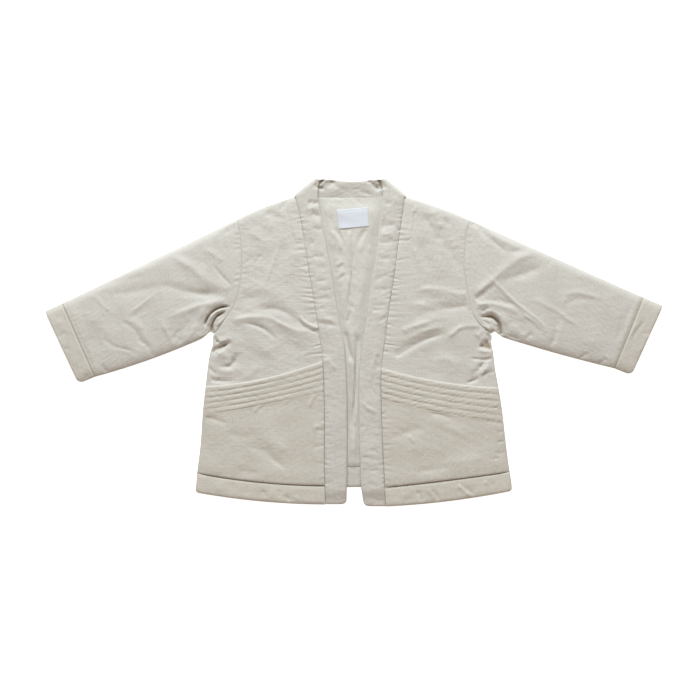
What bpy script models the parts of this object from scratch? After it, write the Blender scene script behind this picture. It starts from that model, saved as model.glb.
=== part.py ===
"""A toddler's padded kimono jacket, laid flat with its front up.

X runs across the jacket, Y up its length to the collar, Z up from the surface that it lies on.
The sizes and tables below are millimetres; a mesh is scaled to metres as it is made.
Left and right are the -X and +X halves, as the jacket is seen from above.
"""

import math

import bmesh
import bpy
from mathutils import Vector

MM = 0.001

# Cloth: shell, wadding and lining together make one wall.
WALL = 3.0
BACK_WALL = 2.6
LINING_WALL = 1.0
BAND_WALL = 4.4
HEM_WALL = 5.2
POCKET_WALL = 2.4
THINNEST_WALL = 1.3
SEAM_GAP = 0.3
LAYER_GAP = 0.4

# Heights of the layers over the surface.
LINING_FLOOR = BACK_WALL + SEAM_GAP
FRONT_FLOOR = LINING_FLOOR + LINING_WALL + LAYER_GAP
FRONT_TOP = FRONT_FLOOR + WALL
SIDE_SEAM_HEIGHT = 3.3
EDGE_HALF = 0.2
FOLD_RADIUS = 9.0
INNER_FOLD_RADIUS = 5.0
SEAM_GROOVE = 1.0
SEAM_ROLL = 3.0
UNDERARM_TURN = (26.0, 2.0)

# The fronts stand off the back over the chest, and their folds fade out below it and towards the band.
FRONT_LIFT = 1.6
FRONT_LIFT_REACH = 42.0
FRONT_LIFT_ROWS = (-20.0, 30.0)
CHEST_FOLD_ROWS = (-22.0, 4.0)
CHEST_FOLD_FADE = 12.0

# Sleeves and cuffs.
SLEEVE_INNER_FLOOR = 2.8
SLEEVE_INNER_TOP = 4.1
SLEEVE_LIFT = 2.0
SLEEVE_FOLD_HEIGHT = 3.5
SLEEVE_FULLNESS = 0.6
UNDERARM_RISE = 3.4
UNDERARM_CLEARANCE = 0.5
UNDERARM_ROWS = (40.0, 10.0)
CUFF_INNER_ROUND = 0.4
CUFF_CORNER = 7.0

# Collar band: its two ends lie on the fronts, and it is folded over at each shoulder to go round the neck.
BAND_CROWN = 0.5
BAND_EDGE_THIN = 0.6
BAND_SEAM_THIN = 0.3
BAND_CORNER = 6.0
BAND_END_ROUND = 4.0
BAND_END_THIN = 0.35
BAND_ROW_PITCH = 19.0
CREASE_WALL = BAND_WALL - 0.4
CREASE_STEPS = 6
CREASE_BLEND = 14.0
NECK_LIFT = 2.2
NECK_LIFT_LENGTH = 60.0
NECK_SEAM_LIFT = 0.2 * NECK_LIFT
NECK_BACK_COUNT = 10
BACK_NECK_SEAM_MID = 2.3
BACK_NECK_FREE_MID = 3.7
NECK_FAN = 80.0
BACK_NECK_FAN = 36.0
NECK_CORNER_CLEARANCE = 2.4
NECK_CORNER_ROWS = (166.0, 180.0)

# Pocket border: rows of quilted channels, which swell over the pocket's face with dips at their stitching.
RIB_COUNT = 5
RIB_ROWS = 4
RIB_SWELL = 0.7
RIB_DIP = 0.5
RIB_ROUNDNESS = 0.6
POCKET_INSET = 0.2
POCKET_EDGE_DROP = 1.2
POCKET_EDGE_ROUND = 2.5

# Fronts hang past the back's hem at the centre and settle towards the surface.
BACK_HEM_EDGE = -181.2
HEM_DROOP = 2.6
HEM_DROOP_LENGTH = 16.0
HEM_EDGE_ROUND = 6.0
HEM_UNDER_ROUND = 3.0
HEM_UNDER_RISE = 1.4
HEM_EDGE_SHARE = 0.4
HEM_CORNER = 4.0

# The back's hem swells a little over its flat wall, with a blunt edge.
BACK_HEM_SWELL = 0.9
BACK_HEM_SWELL_REACH = 20.0
BACK_HEM_ROUND = 4.0
BACK_HEM_EDGE_HEIGHTS = (1.2, 1.8)
BACK_HEM_GROOVE_SHARE = 0.4

# The lining ends at the hem line.
LINING_END = -156.6
LINING_END_SAG = 0.6
LINING_ROUND = 4.0
LINING_TURN_LENGTH = 30.0
PLEAT_LIMIT = 0.8
PLEAT_REACH = 30.0

LABEL_SIZE = (38.5, 24.0, 0.6)
LABEL_CENTRE = (-0.6, 154.4)
LABEL_TILT = math.radians(5)

# Each edge is a table of (y, x) rows from the shoulder down.
# levels: a row for each line across a front, with its Y at the side, its Y at the band, and its sag between.
LEVEL_NAMES = ("shoulder", "underarm", "pocket_top", "rib_end", "hem_line", "hem_edge")
SIDES = {
    "left": {
        "sign": -1,
        "outer": [(149.4, -144.4), (134, -141.2), (116.8, -139.8), (95.4, -139.4), (77.5, -141),
                  (54.2, -145.6), (41.8, -150.8), (29.2, -159.8), (16.8, -168.4), (8, -175.3),
                  (-12.5, -179.2), (-52.5, -184.5), (-87.5, -188.2), (-127.5, -190.9),
                  (-162.5, -195.2), (-188, -197.2)],
        "band_seam": [(180.6, -72.5), (156.2, -66.9), (125.8, -61.5), (95.4, -57), (54.2, -49.9),
                      (31.1, -46.4), (7.9, -42.8), (-18.9, -39.2), (-51.1, -37.4), (-104.6, -36.5),
                      (-158.2, -36.5), (-202, -35.6)],
        "free_edge": [(201.2, -43.2), (183.8, -44.4), (166.8, -41.9), (145.4, -38.2), (127.5, -34.8),
                      (102.5, -30.2), (77.5, -25.8), (54.2, -22.2), (32.9, -18.6), (13.2, -15.1),
                      (0.8, -12.2), (-33.2, -9.4), (-68.9, -8), (-158.2, -8), (-201.5, -8.6)],
        "levels": {"shoulder": (150.2, 180.8, 1.2), "underarm": (8, 8, 0), "pocket_top": (-55, -23.4, -6),
                   "rib_end": (-91.3, -61.8, -1.8), "hem_line": (-163.6, -179.3, -3.6),
                   "hem_edge": (-187.7, -202.8, -3.6)},
        "band_end": -202.4,
        "crease": {"free": (-43.2, 201.2), "seam": (-70.6, 177.4)},
        "cuff_seam": {"top": (-363.8, 46.8), "bottom": (-323, -43.5)},
        "cuff_end": {"top": (-385, 37.1), "bottom": (-343.2, -52)},
        "sleeve_sag": 4.6,
    },
    "right": {
        "sign": 1,
        "outer": [(149.4, 144.4), (136.4, 141.1), (116.8, 138.5), (95.4, 137.6), (73.9, 140.2),
                  (50.8, 144.8), (32.9, 150.1), (22.1, 157.2), (13.8, 166.9), (7.5, 172.8),
                  (-12.5, 174.4), (-32.5, 176.6), (-52.5, 180.3), (-82.5, 185.2), (-122.5, 189.8),
                  (-152.5, 193.5), (-175, 197), (-186, 197.8)],
        "band_seam": [(181.2, 63.8), (157.9, 60.8), (125.8, 56.4), (104.2, 53.6), (77.5, 50.1),
                      (54.2, 46.5), (31.1, 43), (6.1, 40), (-20.8, 36.3), (-42.1, 34.6),
                      (-77.9, 34.9), (-113.6, 36.1), (-149.2, 37.6), (-204.5, 40.6)],
        "free_edge": [(202, 35), (182.9, 36.2), (166.8, 34), (141.8, 31.4), (109.6, 27.8),
                      (81.1, 23.2), (50.8, 18.9), (23.9, 15.2), (2.5, 11.8), (-24.2, 8.1),
                      (-51.1, 6.4), (-86.8, 6.4), (-122.5, 6.9), (-149.2, 8.1), (-179.6, 9.4),
                      (-204.5, 13)],
        "levels": {"shoulder": (150.2, 181.4, 0.9), "underarm": (7.5, 7.5, 0),
                   "pocket_top": (-56.4, -32.4, -4.6), "rib_end": (-100, -70.8, -3),
                   "hem_line": (-161.8, -181.4, -1),
                   "hem_edge": (-185.7, -205.3, -3.1)},
        "band_end": -205,
        "crease": {"free": (35, 202), "seam": (61.6, 177.8)},
        "cuff_seam": {"top": (361.8, 55.9), "bottom": (326, -33)},
        "cuff_end": {"top": (386.1, 45.4), "bottom": (346.7, -41.4)},
        "sleeve_sag": 1.7,
    },
}

# The neck's seam and the band's free edge round it, and the back's top edge and hem, as (x, y) rows.
NECK_SEAM = [(-70.6, 177.4), (-59.5, 180.6), (-44, 181.1), (-4, 180.9), (33, 182.3), (51, 181.2), (61.9, 178)]
NECK_SEAM_CLEARANCE = 0.7
SHOULDERS = [(-144.4, 150.2), (-110, 166.2), (-77, 179.2), (67.5, 180), (108, 165.6), (144.4, 150.2)]
BACK_HEM_LINE = {"left": -162, "centre": -157, "right": -161}
BACK_HEM_END = {"left": -186.6, "centre": -181.2, "right": -184.6}
NECK_FREE_EDGE = [(-43.2, 201.2), (-35, 203.3), (-24, 202.2), (-4, 200.7), (10, 201), (26, 203), (35, 202)]
LINING_EDGE = {"left": [(180, -57), (165, -74), (140, -86), (-156, -90)],
               "right": [(180, 49), (165, 65), (140, 78), (-156, 82)]}

# The largest folds: each runs from start past middle to end, a soft ridge or a trough below zero.
FOLD_PIECES = 6
FOLD_END_SHARE = 0.08
FOLDS = [
    {"start": (-154, 56), "middle": (-190, 78), "end": (-232, 108), "half_width": 10, "height": 1.4},
    {"start": (-158, 60), "middle": (-220, 72), "end": (-325, 52), "half_width": 10, "height": -1.4},
    {"start": (-162, 50), "middle": (-200, 46), "end": (-240, 28), "half_width": 8, "height": 1.3},
    {"start": (-157, 39), "middle": (-181, 35), "end": (-188, 14), "half_width": 3.6, "height": -2.4},
    {"start": (-170, 46), "middle": (-193, 34), "end": (-202, 12), "half_width": 6, "height": 1.2},
    {"start": (-214, 2), "middle": (-207, 14), "end": (-224, 30), "half_width": 4, "height": -0.8},
    {"start": (155, 58), "middle": (190, 84), "end": (224, 106), "half_width": 8, "height": 1.4},
    {"start": (176, 66), "middle": (214, 88), "end": (250, 103), "half_width": 8, "height": -1.4},
    {"start": (154, 45), "middle": (196, 40), "end": (230, 16), "half_width": 7, "height": 1.4},
    {"start": (158, 30), "middle": (175, 32), "end": (183, 14), "half_width": 3.6, "height": -2.4},
    {"start": (196, 62), "middle": (214, 40), "end": (244, 8), "half_width": 5, "height": -1},
    {"start": (-148, 27), "middle": (-118, 22), "end": (-84, -4), "half_width": 8, "height": 1.4},
    {"start": (-128, 42), "middle": (-84, 34), "end": (-46, 16), "half_width": 7, "height": -1.4},
    {"start": (-172, -8), "middle": (-156, -6), "end": (-140, -20), "half_width": 9, "height": -1.2},
    {"start": (150, 20), "middle": (112, 14), "end": (58, -12), "half_width": 6.5, "height": -1.6},
    {"start": (146, 34), "middle": (100, 30), "end": (54, 6), "half_width": 9, "height": 1.5},
    {"start": (138, -50), "middle": (152, -38), "end": (168, -22), "half_width": 6, "height": -1.2},
    {"start": (84, 170), "middle": (108, 128), "end": (134, 84), "half_width": 7, "height": -0.9},
    {"start": (-82, 166), "middle": (-104, 130), "end": (-130, 96), "half_width": 8, "height": -0.8},
]
PLEAT = {"start": (0, 139), "middle": (0, 60), "end": (-6, -20), "half_width": 3.5, "height": 1.0}

COLOURS = {"shell": (0.72, 0.68, 0.6), "lining": (0.76, 0.72, 0.66), "label": (0.86, 0.87, 0.93)}
CLOTH_ROUGHNESS = 0.9


# Curves and profiles.


def smooth_table(rows):
    """A smooth function through rows of (a, b), with b given for a."""
    rows = sorted(rows)
    places = [a for a, _ in rows]
    values = [b for _, b in rows]
    steep = [(values[i + 1] - values[i]) / (places[i + 1] - places[i]) for i in range(len(rows) - 1)]
    slopes = [steep[0], *((steep[i] + steep[i + 1]) / 2 for i in range(len(steep) - 1)), steep[-1]]

    def value(place):
        i = max(0, min(len(rows) - 2, sum(place > a for a in places) - 1))
        span = places[i + 1] - places[i]
        t = min(1.0, max(0.0, (place - places[i]) / span))
        rise = t * t * (3 - 2 * t)
        start_slope = t * (1 - t) ** 2 * slopes[i] * span
        end_slope = t * t * (t - 1) * slopes[i + 1] * span
        return values[i] * (1 - rise) + values[i + 1] * rise + start_slope + end_slope

    return value


def straight_table(rows):
    """A function of straight stretches through rows of (a, b)."""

    def value(place):
        for (a0, b0), (a1, b1) in zip(rows, rows[1:]):
            if place <= a1:
                break
        t = min(1.0, max(0.0, (place - a0) / (a1 - a0)))
        return b0 + (b1 - b0) * t

    return value


def mix(a, b, share):
    return a + (b - a) * share


def ease(start, end, value):
    """0 at start and 1 at end, with a soft turn at both."""
    t = min(1.0, max(0.0, (value - start) / (end - start)))
    return t * t * (3 - 2 * t)


def dome(distance, radius):
    """A quarter round: 0 at an edge, 1 once the radius is reached."""
    t = min(1.0, max(0.0, distance / radius))
    return math.sqrt(1 - (1 - t) ** 2)


def seam_drop(distance):
    """How far a wall's face rolls down towards a seam."""
    return SEAM_GROOVE * (1 - min(1.0, distance / SEAM_ROLL)) ** 2


def fold_height(fold, x, y):
    """What one fold adds to a face at a point."""
    place = Vector((x, y))
    start, middle, end = (Vector(fold[key]) for key in ("start", "middle", "end"))
    nearest, along = math.inf, 0.0
    before = start
    for i in range(1, FOLD_PIECES + 1):
        t = i / FOLD_PIECES
        after = start * (1 - t) ** 2 + middle * 2 * t * (1 - t) + end * t * t
        run = after - before
        share = min(1.0, max(0.0, (place - before).dot(run) / run.length_squared))
        distance = (place - before - run * share).length
        if distance < nearest:
            nearest, along = distance, (i - 1 + share) / FOLD_PIECES
        before = after
    taper = math.sin(math.pi * mix(FOLD_END_SHARE, 1 - FOLD_END_SHARE, along))
    return fold["height"] * taper * math.exp(-((nearest / fold["half_width"]) ** 2))


def relief(x, y):
    return sum(fold_height(fold, x, y) for fold in FOLDS)


CLOSE_ROWS = (0.0, 1.2, 3.6, 7.0)
EDGE_COLUMNS = len(CLOSE_ROWS) - 1


def spaced(length, count, fine_start, fine_end):
    """Shares from 0 to 1 over a length, with closer rows at an end that rolls over."""
    start = [c / length for c in CLOSE_ROWS] if fine_start else [0.0]
    end = [1 - c / length for c in reversed(CLOSE_ROWS)] if fine_end else [1.0]
    return start[:-1] + [mix(start[-1], end[0], i / count) for i in range(count + 1)] + end[1:]


# Meshes.


def material(name, colour):
    made = bpy.data.materials.new(name)
    made.use_nodes = True
    shader = made.node_tree.nodes["Principled BSDF"]
    shader.inputs["Base Color"].default_value = (*colour, 1)
    shader.inputs["Roughness"].default_value = CLOTH_ROUGHNESS
    shader.inputs["Metallic"].default_value = 0
    return made


def finish(name, shell, finish_name):
    """Names, scales, shades and links a closed bmesh as one piece of the jacket."""
    bmesh.ops.scale(shell, vec=(MM, MM, MM), verts=shell.verts)
    bmesh.ops.recalc_face_normals(shell, faces=shell.faces)
    mesh = bpy.data.meshes.new(name)
    shell.to_mesh(mesh)
    shell.free()
    mesh.shade_smooth()
    mesh.set_sharp_from_angle(angle=math.radians(50))
    piece = bpy.data.objects.new(name, mesh)
    piece.data.materials.append(MATERIALS[finish_name])
    JACKET.objects.link(piece)
    return piece


def join_rings(shell, rings):
    """Skins a row of closed rings of equal count, and returns their vertices."""
    made = [[shell.verts.new(point) for point in ring] for ring in rings]
    for near, far in zip(made, made[1:]):
        for i in range(len(near)):
            j = (i + 1) % len(near)
            shell.faces.new((near[i], near[j], far[j], far[i]))
    return made


def close_rim(shell, outer, inner):
    """Joins an outer ring to an inner one of another count, by how far round each point is."""
    outer_turns, inner_turns = ring_turns(OUTER_SHARES), ring_turns(INNER_SHARES)
    i = j = 0
    while i < len(outer) or j < len(inner):
        if j == len(inner) or (i < len(outer) and outer_turns[i + 1] <= inner_turns[j + 1]):
            shell.faces.new((outer[i], outer[(i + 1) % len(outer)], inner[j % len(inner)]))
            i += 1
        else:
            shell.faces.new((outer[i % len(outer)], inner[(j + 1) % len(inner)], inner[j]))
            j += 1


def ring_turns(shares):
    """How far round a flattened ring each of its points is: 0 to 1 over the top, and on to 2 below."""
    return [*shares, *(2 - share for share in shares[-2:0:-1]), 2]


def tube_from_rings(name, outer_rings, inner_rings, finish_name):
    """A wall between an outer and an inner skin, open at both ends."""
    shell = bmesh.new()
    outer = join_rings(shell, outer_rings)
    inner = join_rings(shell, inner_rings)
    for end in (0, -1):
        close_rim(shell, outer[end], inner[end])
    return finish(name, shell, finish_name)


def panel(name, rows, top_height, bottom_height, bottom_step, finish_name):
    """A flat-laid wall: each row of places across it becomes one ring, over its top and back under."""
    last = len(rows[0]) - 1
    kept = [i for i in range(last + 1) if min(i, last - i) <= EDGE_COLUMNS or not i % bottom_step]
    rings = []
    for row in rows:
        over = [Vector((x, y, top_height(x, y, near))) for x, y, near in row]
        under = [Vector((row[i][0], row[i][1], bottom_height(*row[i]))) for i in reversed(kept)]
        rings.append(over + under)
    shell = bmesh.new()
    made = join_rings(shell, rings)
    for ring in (made[0], made[-1]):
        for place, (i, j) in enumerate(zip(kept, kept[1:])):
            shell.faces.new((*ring[i : j + 1], ring[-2 - place], ring[-1 - place]))
    return finish(name, shell, finish_name)


# Edges and lines of each half, as functions.


def prepare_side(side):
    side["outer_at"] = smooth_table(side["outer"])
    side["seam_at"] = smooth_table(side["band_seam"])
    side["free_at"] = smooth_table(side["free_edge"])
    rows = [side["levels"][name] for name in LEVEL_NAMES]
    side["level_at"] = [straight_table(list(enumerate(column))) for column in zip(*rows)]


def level(name):
    return LEVEL_NAMES.index(name)


def front_place(side, row, share, inset=0.0):
    """A place on a front: row counts down the levels, share runs from the side to the band."""
    outer_y, inner_y, sag = (at(row) for at in side["level_at"])
    outward = side["sign"]
    corner = NECK_CORNER_CLEARANCE * ease(*NECK_CORNER_ROWS, inner_y)
    outer = Vector((side["outer_at"](outer_y) - outward * inset, outer_y))
    inner = Vector((side["seam_at"](inner_y) + outward * (SEAM_GAP / 2 + corner), inner_y))
    place = outer.lerp(inner, share)
    place.y += sag * 4 * share * (1 - share)
    return place


def front_rows(side, row_list, share_list, inset=0.0):
    """Rows of (x, y, distances) over a front, with the distance from each place to each edge."""
    made = []
    for row in row_list:
        line = []
        outer = front_place(side, row, 0, inset)
        inner = front_place(side, row, 1, inset)
        width = (inner - outer).length
        for share in share_list:
            place = front_place(side, row, share, inset)
            near = {
                "side": share * width + inset,
                "band": (1 - share) * width,
                "start": (place - front_place(side, row_list[0], share, inset)).length,
                "end": (place - front_place(side, row_list[-1], share, inset)).length,
                "row": row,
            }
            line.append((place.x, place.y, near))
        made.append(line)
    return made


# The fronts.


def side_roll(near, y, radius):
    """1 inland, falling to 0 at the folded side seam, but not along the armhole, which is a plain seam."""
    folded = ease(*UNDERARM_TURN, y)
    return 1 - folded * (1 - dome(near["side"], radius))


def front_lift(near, y):
    """How far a front stands off the layers below it, over the chest only."""
    inland = 1.0
    for edge in ("side", "band", "start"):
        inland *= min(1.0, near[edge] / FRONT_LIFT_REACH)
    return FRONT_LIFT * inland * ease(*FRONT_LIFT_ROWS, y)


def front_top(x, y, near):
    shoulder = dome(near["start"], FOLD_RADIUS)
    edge = SIDE_SEAM_HEIGHT + SEAM_GAP + 2 * EDGE_HALF
    free = ease(*CHEST_FOLD_ROWS, y) * min(1.0, min(near["band"], near["side"]) / CHEST_FOLD_FADE)
    armhole = seam_drop(near["side"]) * (1 - ease(*UNDERARM_TURN, y))
    height = FRONT_TOP + front_lift(near, y) + relief(x, y) * free - seam_drop(near["band"]) - armhole
    return edge + (height - edge) * shoulder * side_roll(near, y, FOLD_RADIUS)


def front_bottom(x, y, near):
    edge = SIDE_SEAM_HEIGHT + SEAM_GAP
    height = FRONT_FLOOR + front_lift(near, y)
    rolled = dome(near["start"], INNER_FOLD_RADIUS) * side_roll(near, y, INNER_FOLD_RADIUS)
    height = edge + (height - edge) * rolled
    return min(height, front_top(x, y, near) - 2 * EDGE_HALF)


CHEST_HEIGHT = 150.0
CHEST_ROWS = (*(close / CHEST_HEIGHT for close in CLOSE_ROWS),
              0.13, 0.24, 0.36, 0.47, 0.57, 0.65, 0.72, 0.79, 0.86, 0.93, 1)
FRONT_WIDTH = 120.0
BELOW_BORDER = (0.04, 0.2, 0.4, 0.6, 0.8, 0.92, 0.97)


def make_front(side_name):
    side = SIDES[side_name]
    chest = [level("shoulder") + share for share in CHEST_ROWS]
    waist = [mix(level("underarm"), level("pocket_top"), i / 6) for i in range(1, 7)]
    skirt = [level("rib_end"), mix(level("rib_end"), level("hem_line"), 0.5), level("hem_line") - 0.002]
    rows = front_rows(side, chest + waist + skirt, spaced(FRONT_WIDTH, 13, True, True))
    return panel(f"front_{side_name}", rows, front_top, front_bottom, 3, "shell")


# The pockets: what lies on the front's face, moved out.


def rib_height(row):
    """What the quilted channels add to the pocket's face at a row of its border."""
    top, end = level("pocket_top"), level("rib_end")
    if row > end:
        return 0.0
    turn = (row - top) / (end - top) * RIB_COUNT
    return mix(-RIB_DIP, RIB_SWELL, abs(math.sin(math.pi * turn)) ** RIB_ROUNDNESS)


def pocket_bottom(x, y, near):
    flat = dict(near, start=1e3)
    return front_top(x, y, flat) + LAYER_GAP


def pocket_top(x, y, near):
    edge = SIDE_SEAM_HEIGHT + 2 * SEAM_GAP + 4 * EDGE_HALF + LAYER_GAP
    height = FRONT_TOP + LAYER_GAP + POCKET_WALL + rib_height(near["row"])
    height = edge + (height - edge) * side_roll(near, y, FOLD_RADIUS)
    ends = POCKET_EDGE_DROP * (1 - dome(near["start"], POCKET_EDGE_ROUND))
    ends += seam_drop(near["end"]) + seam_drop(near["band"])
    return max(height - ends, pocket_bottom(x, y, near) + 2 * EDGE_HALF)


def make_pocket(side_name):
    side = SIDES[side_name]
    top, end, hem = level("pocket_top"), level("rib_end"), level("hem_line")
    border = [top + i / (RIB_COUNT * RIB_ROWS) for i in range(RIB_COUNT * RIB_ROWS + 1)]
    bag = [mix(end, hem, share) for share in BELOW_BORDER]
    rows = front_rows(side, border + bag + [hem - 0.004], spaced(FRONT_WIDTH, 9, True, True), POCKET_INSET)
    return panel(f"pocket_{side_name}", rows, pocket_top, pocket_bottom, 3, "shell")


# The hems.


def droop(y):
    """How far the fronts settle past the back's hem."""
    return HEM_DROOP * ease(BACK_HEM_EDGE - 2, BACK_HEM_EDGE - 2 - HEM_DROOP_LENGTH, y)


def hem_front_top(x, y, near):
    edge = SIDE_SEAM_HEIGHT + SEAM_GAP + 2 * EDGE_HALF
    top = FRONT_FLOOR + HEM_WALL - droop(y)
    low = min(edge, mix(FRONT_FLOOR - droop(y), top, HEM_EDGE_SHARE))
    rolled = dome(near["end"], HEM_EDGE_ROUND) * dome(near["side"], FOLD_RADIUS)
    return low + (top - seam_drop(near["start"]) - seam_drop(near["band"]) - low) * rolled


def hem_front_bottom(x, y, near):
    edge = SIDE_SEAM_HEIGHT + SEAM_GAP
    floor = FRONT_FLOOR - droop(y)
    side = edge + (floor - edge) * dome(near["side"], INNER_FOLD_RADIUS)
    rolled = mix(min(edge, floor + HEM_UNDER_RISE), side, dome(near["end"], HEM_UNDER_ROUND))
    return min(rolled, hem_front_top(x, y, near) - 2 * EDGE_HALF)


def make_hem_front(side_name):
    side = SIDES[side_name]
    first, last = level("hem_line"), level("hem_edge")
    shares = [0.012, 0.12, 0.35, 0.6, 0.75, 0.87, 0.95, 1.0]
    lines = [mix(first, last, share) for share in shares]
    rows = front_rows(side, lines, spaced(FRONT_WIDTH, 10, True, True))
    rounded = []
    for share, row in zip(shares, rows):
        corner = HEM_CORNER * share**3
        rounded.append([(x, y + corner * (1 - dome(near["side"], HEM_CORNER)), near) for x, y, near in row])
    return panel(f"hem_front_{side_name}", rounded, hem_front_top, hem_front_bottom, 3, "shell")


def back_top_edge():
    neck = [(x, y - NECK_SEAM_CLEARANCE) for x, y in NECK_SEAM]
    return [*SHOULDERS[:3], *neck, *SHOULDERS[3:]]


def back_place(row, share):
    """A place on the back: row 0 is the shoulders and neck, 1 the underarms, 2 the hem line, 3 its edge."""
    ends = []
    for name in ("left", "right"):
        side = SIDES[name]
        rows = [side["levels"]["shoulder"][0], side["levels"]["underarm"][0]]
        rows += [BACK_HEM_LINE[name], BACK_HEM_END[name]]
        y = straight_table(list(enumerate(rows)))(row)
        ends.append(Vector((side["outer_at"](y), y)))
    place = ends[0].lerp(ends[1], share)
    at_shoulder = mix(SHOULDERS[0][0], SHOULDERS[-1][0], share)
    rise = straight_table(back_top_edge())(at_shoulder) - SHOULDERS[0][1]
    centre = 4 * share * (1 - share)
    line = BACK_HEM_LINE["centre"] - (BACK_HEM_LINE["left"] + BACK_HEM_LINE["right"]) / 2
    edge = BACK_HEM_END["centre"] - (BACK_HEM_END["left"] + BACK_HEM_END["right"]) / 2
    place.y += rise * max(0.0, 1 - row)
    place.y += centre * straight_table([(0, 0), (1, 0), (2, line), (3, edge)])(row)
    return place


def back_rows(row_list, share_list):
    made = []
    for row in row_list:
        width = (back_place(row, 1) - back_place(row, 0)).length
        line = []
        for share in share_list:
            place = back_place(row, share)
            at_shoulder = mix(SHOULDERS[0][0], SHOULDERS[-1][0], share)
            near = {
                "side": min(share, 1 - share) * width,
                "start": (place - back_place(row_list[0], share)).length,
                "end": (place - back_place(row_list[-1], share)).length,
                "shoulder": not NECK_SEAM[0][0] - 1 < at_shoulder < NECK_SEAM[-1][0] + 1,
            }
            line.append((place.x, place.y, near))
        made.append(line)
    return made


def back_roll(near, y, radius):
    shoulder = dome(near["start"], radius) if near["shoulder"] else 1.0
    return shoulder * side_roll(near, y, radius)


def back_top(x, y, near):
    edge = SIDE_SEAM_HEIGHT - SEAM_GAP
    return edge + (BACK_WALL - edge) * back_roll(near, y, INNER_FOLD_RADIUS)


def back_bottom(x, y, near):
    edge = SIDE_SEAM_HEIGHT - SEAM_GAP - 2 * EDGE_HALF
    return edge * (1 - back_roll(near, y, FOLD_RADIUS))


def back_shares():
    """Places across the back, with one at each row of its top edge."""
    width = SHOULDERS[-1][0] - SHOULDERS[0][0]
    corners = [(x - SHOULDERS[0][0]) / width for x, _ in back_top_edge()]
    outside = (corners[1] - 0.02, corners[-2] + 0.02)
    rolled = [share for share in spaced(width, 8, True, True) if not outside[0] < share < outside[1]]
    return sorted({*rolled, *corners})


def make_back():
    chest = list(CHEST_ROWS)
    skirt = [1 + i / 7 for i in range(1, 7)] + [2 - 0.002]
    return panel("back_panel", back_rows(chest + skirt, back_shares()), back_top, back_bottom, 1, "shell")


def hem_back_top(x, y, near):
    edge = SIDE_SEAM_HEIGHT - SEAM_GAP
    flat = BACK_WALL + BACK_HEM_SWELL * min(1.0, near["side"] / BACK_HEM_SWELL_REACH)
    height = edge + (flat - edge) * dome(near["side"], INNER_FOLD_RADIUS)
    rounded = mix(BACK_HEM_EDGE_HEIGHTS[1], height, dome(near["end"], BACK_HEM_ROUND))
    return rounded - BACK_HEM_GROOVE_SHARE * seam_drop(near["start"])


def hem_back_bottom(x, y, near):
    edge = SIDE_SEAM_HEIGHT - SEAM_GAP - 2 * EDGE_HALF
    side = edge * (1 - dome(near["side"], FOLD_RADIUS))
    rounded = mix(BACK_HEM_EDGE_HEIGHTS[0], side, dome(near["end"], BACK_HEM_ROUND))
    return min(rounded, hem_back_top(x, y, near) - 2 * EDGE_HALF)


def make_hem_back():
    rows = [mix(2, 3, share) for share in (0.012, 0.12, 0.4, 0.7, 0.86, 0.95, 1.0)]
    return panel("hem_back", back_rows(rows, back_shares()), hem_back_top, hem_back_bottom, 1, "shell")


# The lining where the open front shows it, and the blank label on it.


def make_lining():
    edges = [straight_table(sorted(LINING_EDGE[name])) for name in ("left", "right")]
    top, bottom = NECK_SEAM[1][1] - NECK_SEAM_CLEARANCE, LINING_END
    neck = straight_table(NECK_SEAM)
    shares = (0, 0.01, 0.05, *(0.1 + 0.08 * i for i in range(11)), 0.95, 0.985, 1)
    ys = [mix(top, bottom, share) for share in shares]
    rows = []
    for y in ys:
        left, right = (at(y) for at in edges)
        sag = LINING_END_SAG * ease(bottom + LINING_TURN_LENGTH, bottom, y)
        line = []
        for i in range(15):
            share = i / 14
            near = {"end": y - bottom, "start": top - y, "side": min(share, 1 - share) * (right - left)}
            x = mix(left, right, share)
            rise = (neck(x) - NECK_SEAM[1][1]) * ease(top - LINING_TURN_LENGTH, top, y)
            line.append((x, y + rise - sag * (1 - 4 * share * (1 - share)), near))
        rows.append(line)

    def lining_top(x, y, near):
        rolled = min(dome(near[edge], LINING_ROUND) for edge in ("start", "end", "side"))
        pleat = fold_height(PLEAT, x, y) * min(1.0, near["side"] / PLEAT_REACH)
        return LINING_FLOOR + mix(2 * EDGE_HALF, LINING_WALL, rolled) + min(pleat, PLEAT_LIMIT)

    def lining_bottom(x, y, near):
        return LINING_FLOOR

    return panel("back_lining", rows, lining_top, lining_bottom, 2, "lining")


def make_label():
    width, height, thickness = LABEL_SIZE
    bpy.ops.mesh.primitive_cube_add(size=1)
    label = bpy.context.object
    label.name = "label"
    label.scale = (width * MM, height * MM, thickness * MM)
    bpy.ops.object.transform_apply(location=False, rotation=False, scale=True)
    lift = LINING_FLOOR + LINING_WALL + SEAM_GAP + thickness / 2
    label.location = (LABEL_CENTRE[0] * MM, LABEL_CENTRE[1] * MM, lift * MM)
    label.rotation_euler.z = LABEL_TILT
    label.data.materials.append(MATERIALS["label"])
    for collection in list(label.users_collection):
        collection.objects.unlink(label)
    JACKET.objects.link(label)


# The sleeves and cuffs: flattened tubes.


def sleeve_place(side, along, down):
    """along runs from the armhole to the cuff seam, down from the upper fold to the lower one."""
    shoulder_y = side["levels"]["shoulder"][0]
    underarm_y = side["levels"]["underarm"][0] + UNDERARM_RISE
    y = mix(shoulder_y, underarm_y, down)
    clear = 2 * SEAM_GAP + UNDERARM_CLEARANCE * ease(*UNDERARM_ROWS, y)
    armhole = Vector((side["outer_at"](y) + side["sign"] * clear, y))
    seam = Vector(side["cuff_seam"]["top"]).lerp(Vector(side["cuff_seam"]["bottom"]), down)
    place = armhole.lerp(seam, along)
    place.y -= side["sleeve_sag"] * 4 * along * (1 - along) * down**2
    return place


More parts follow.
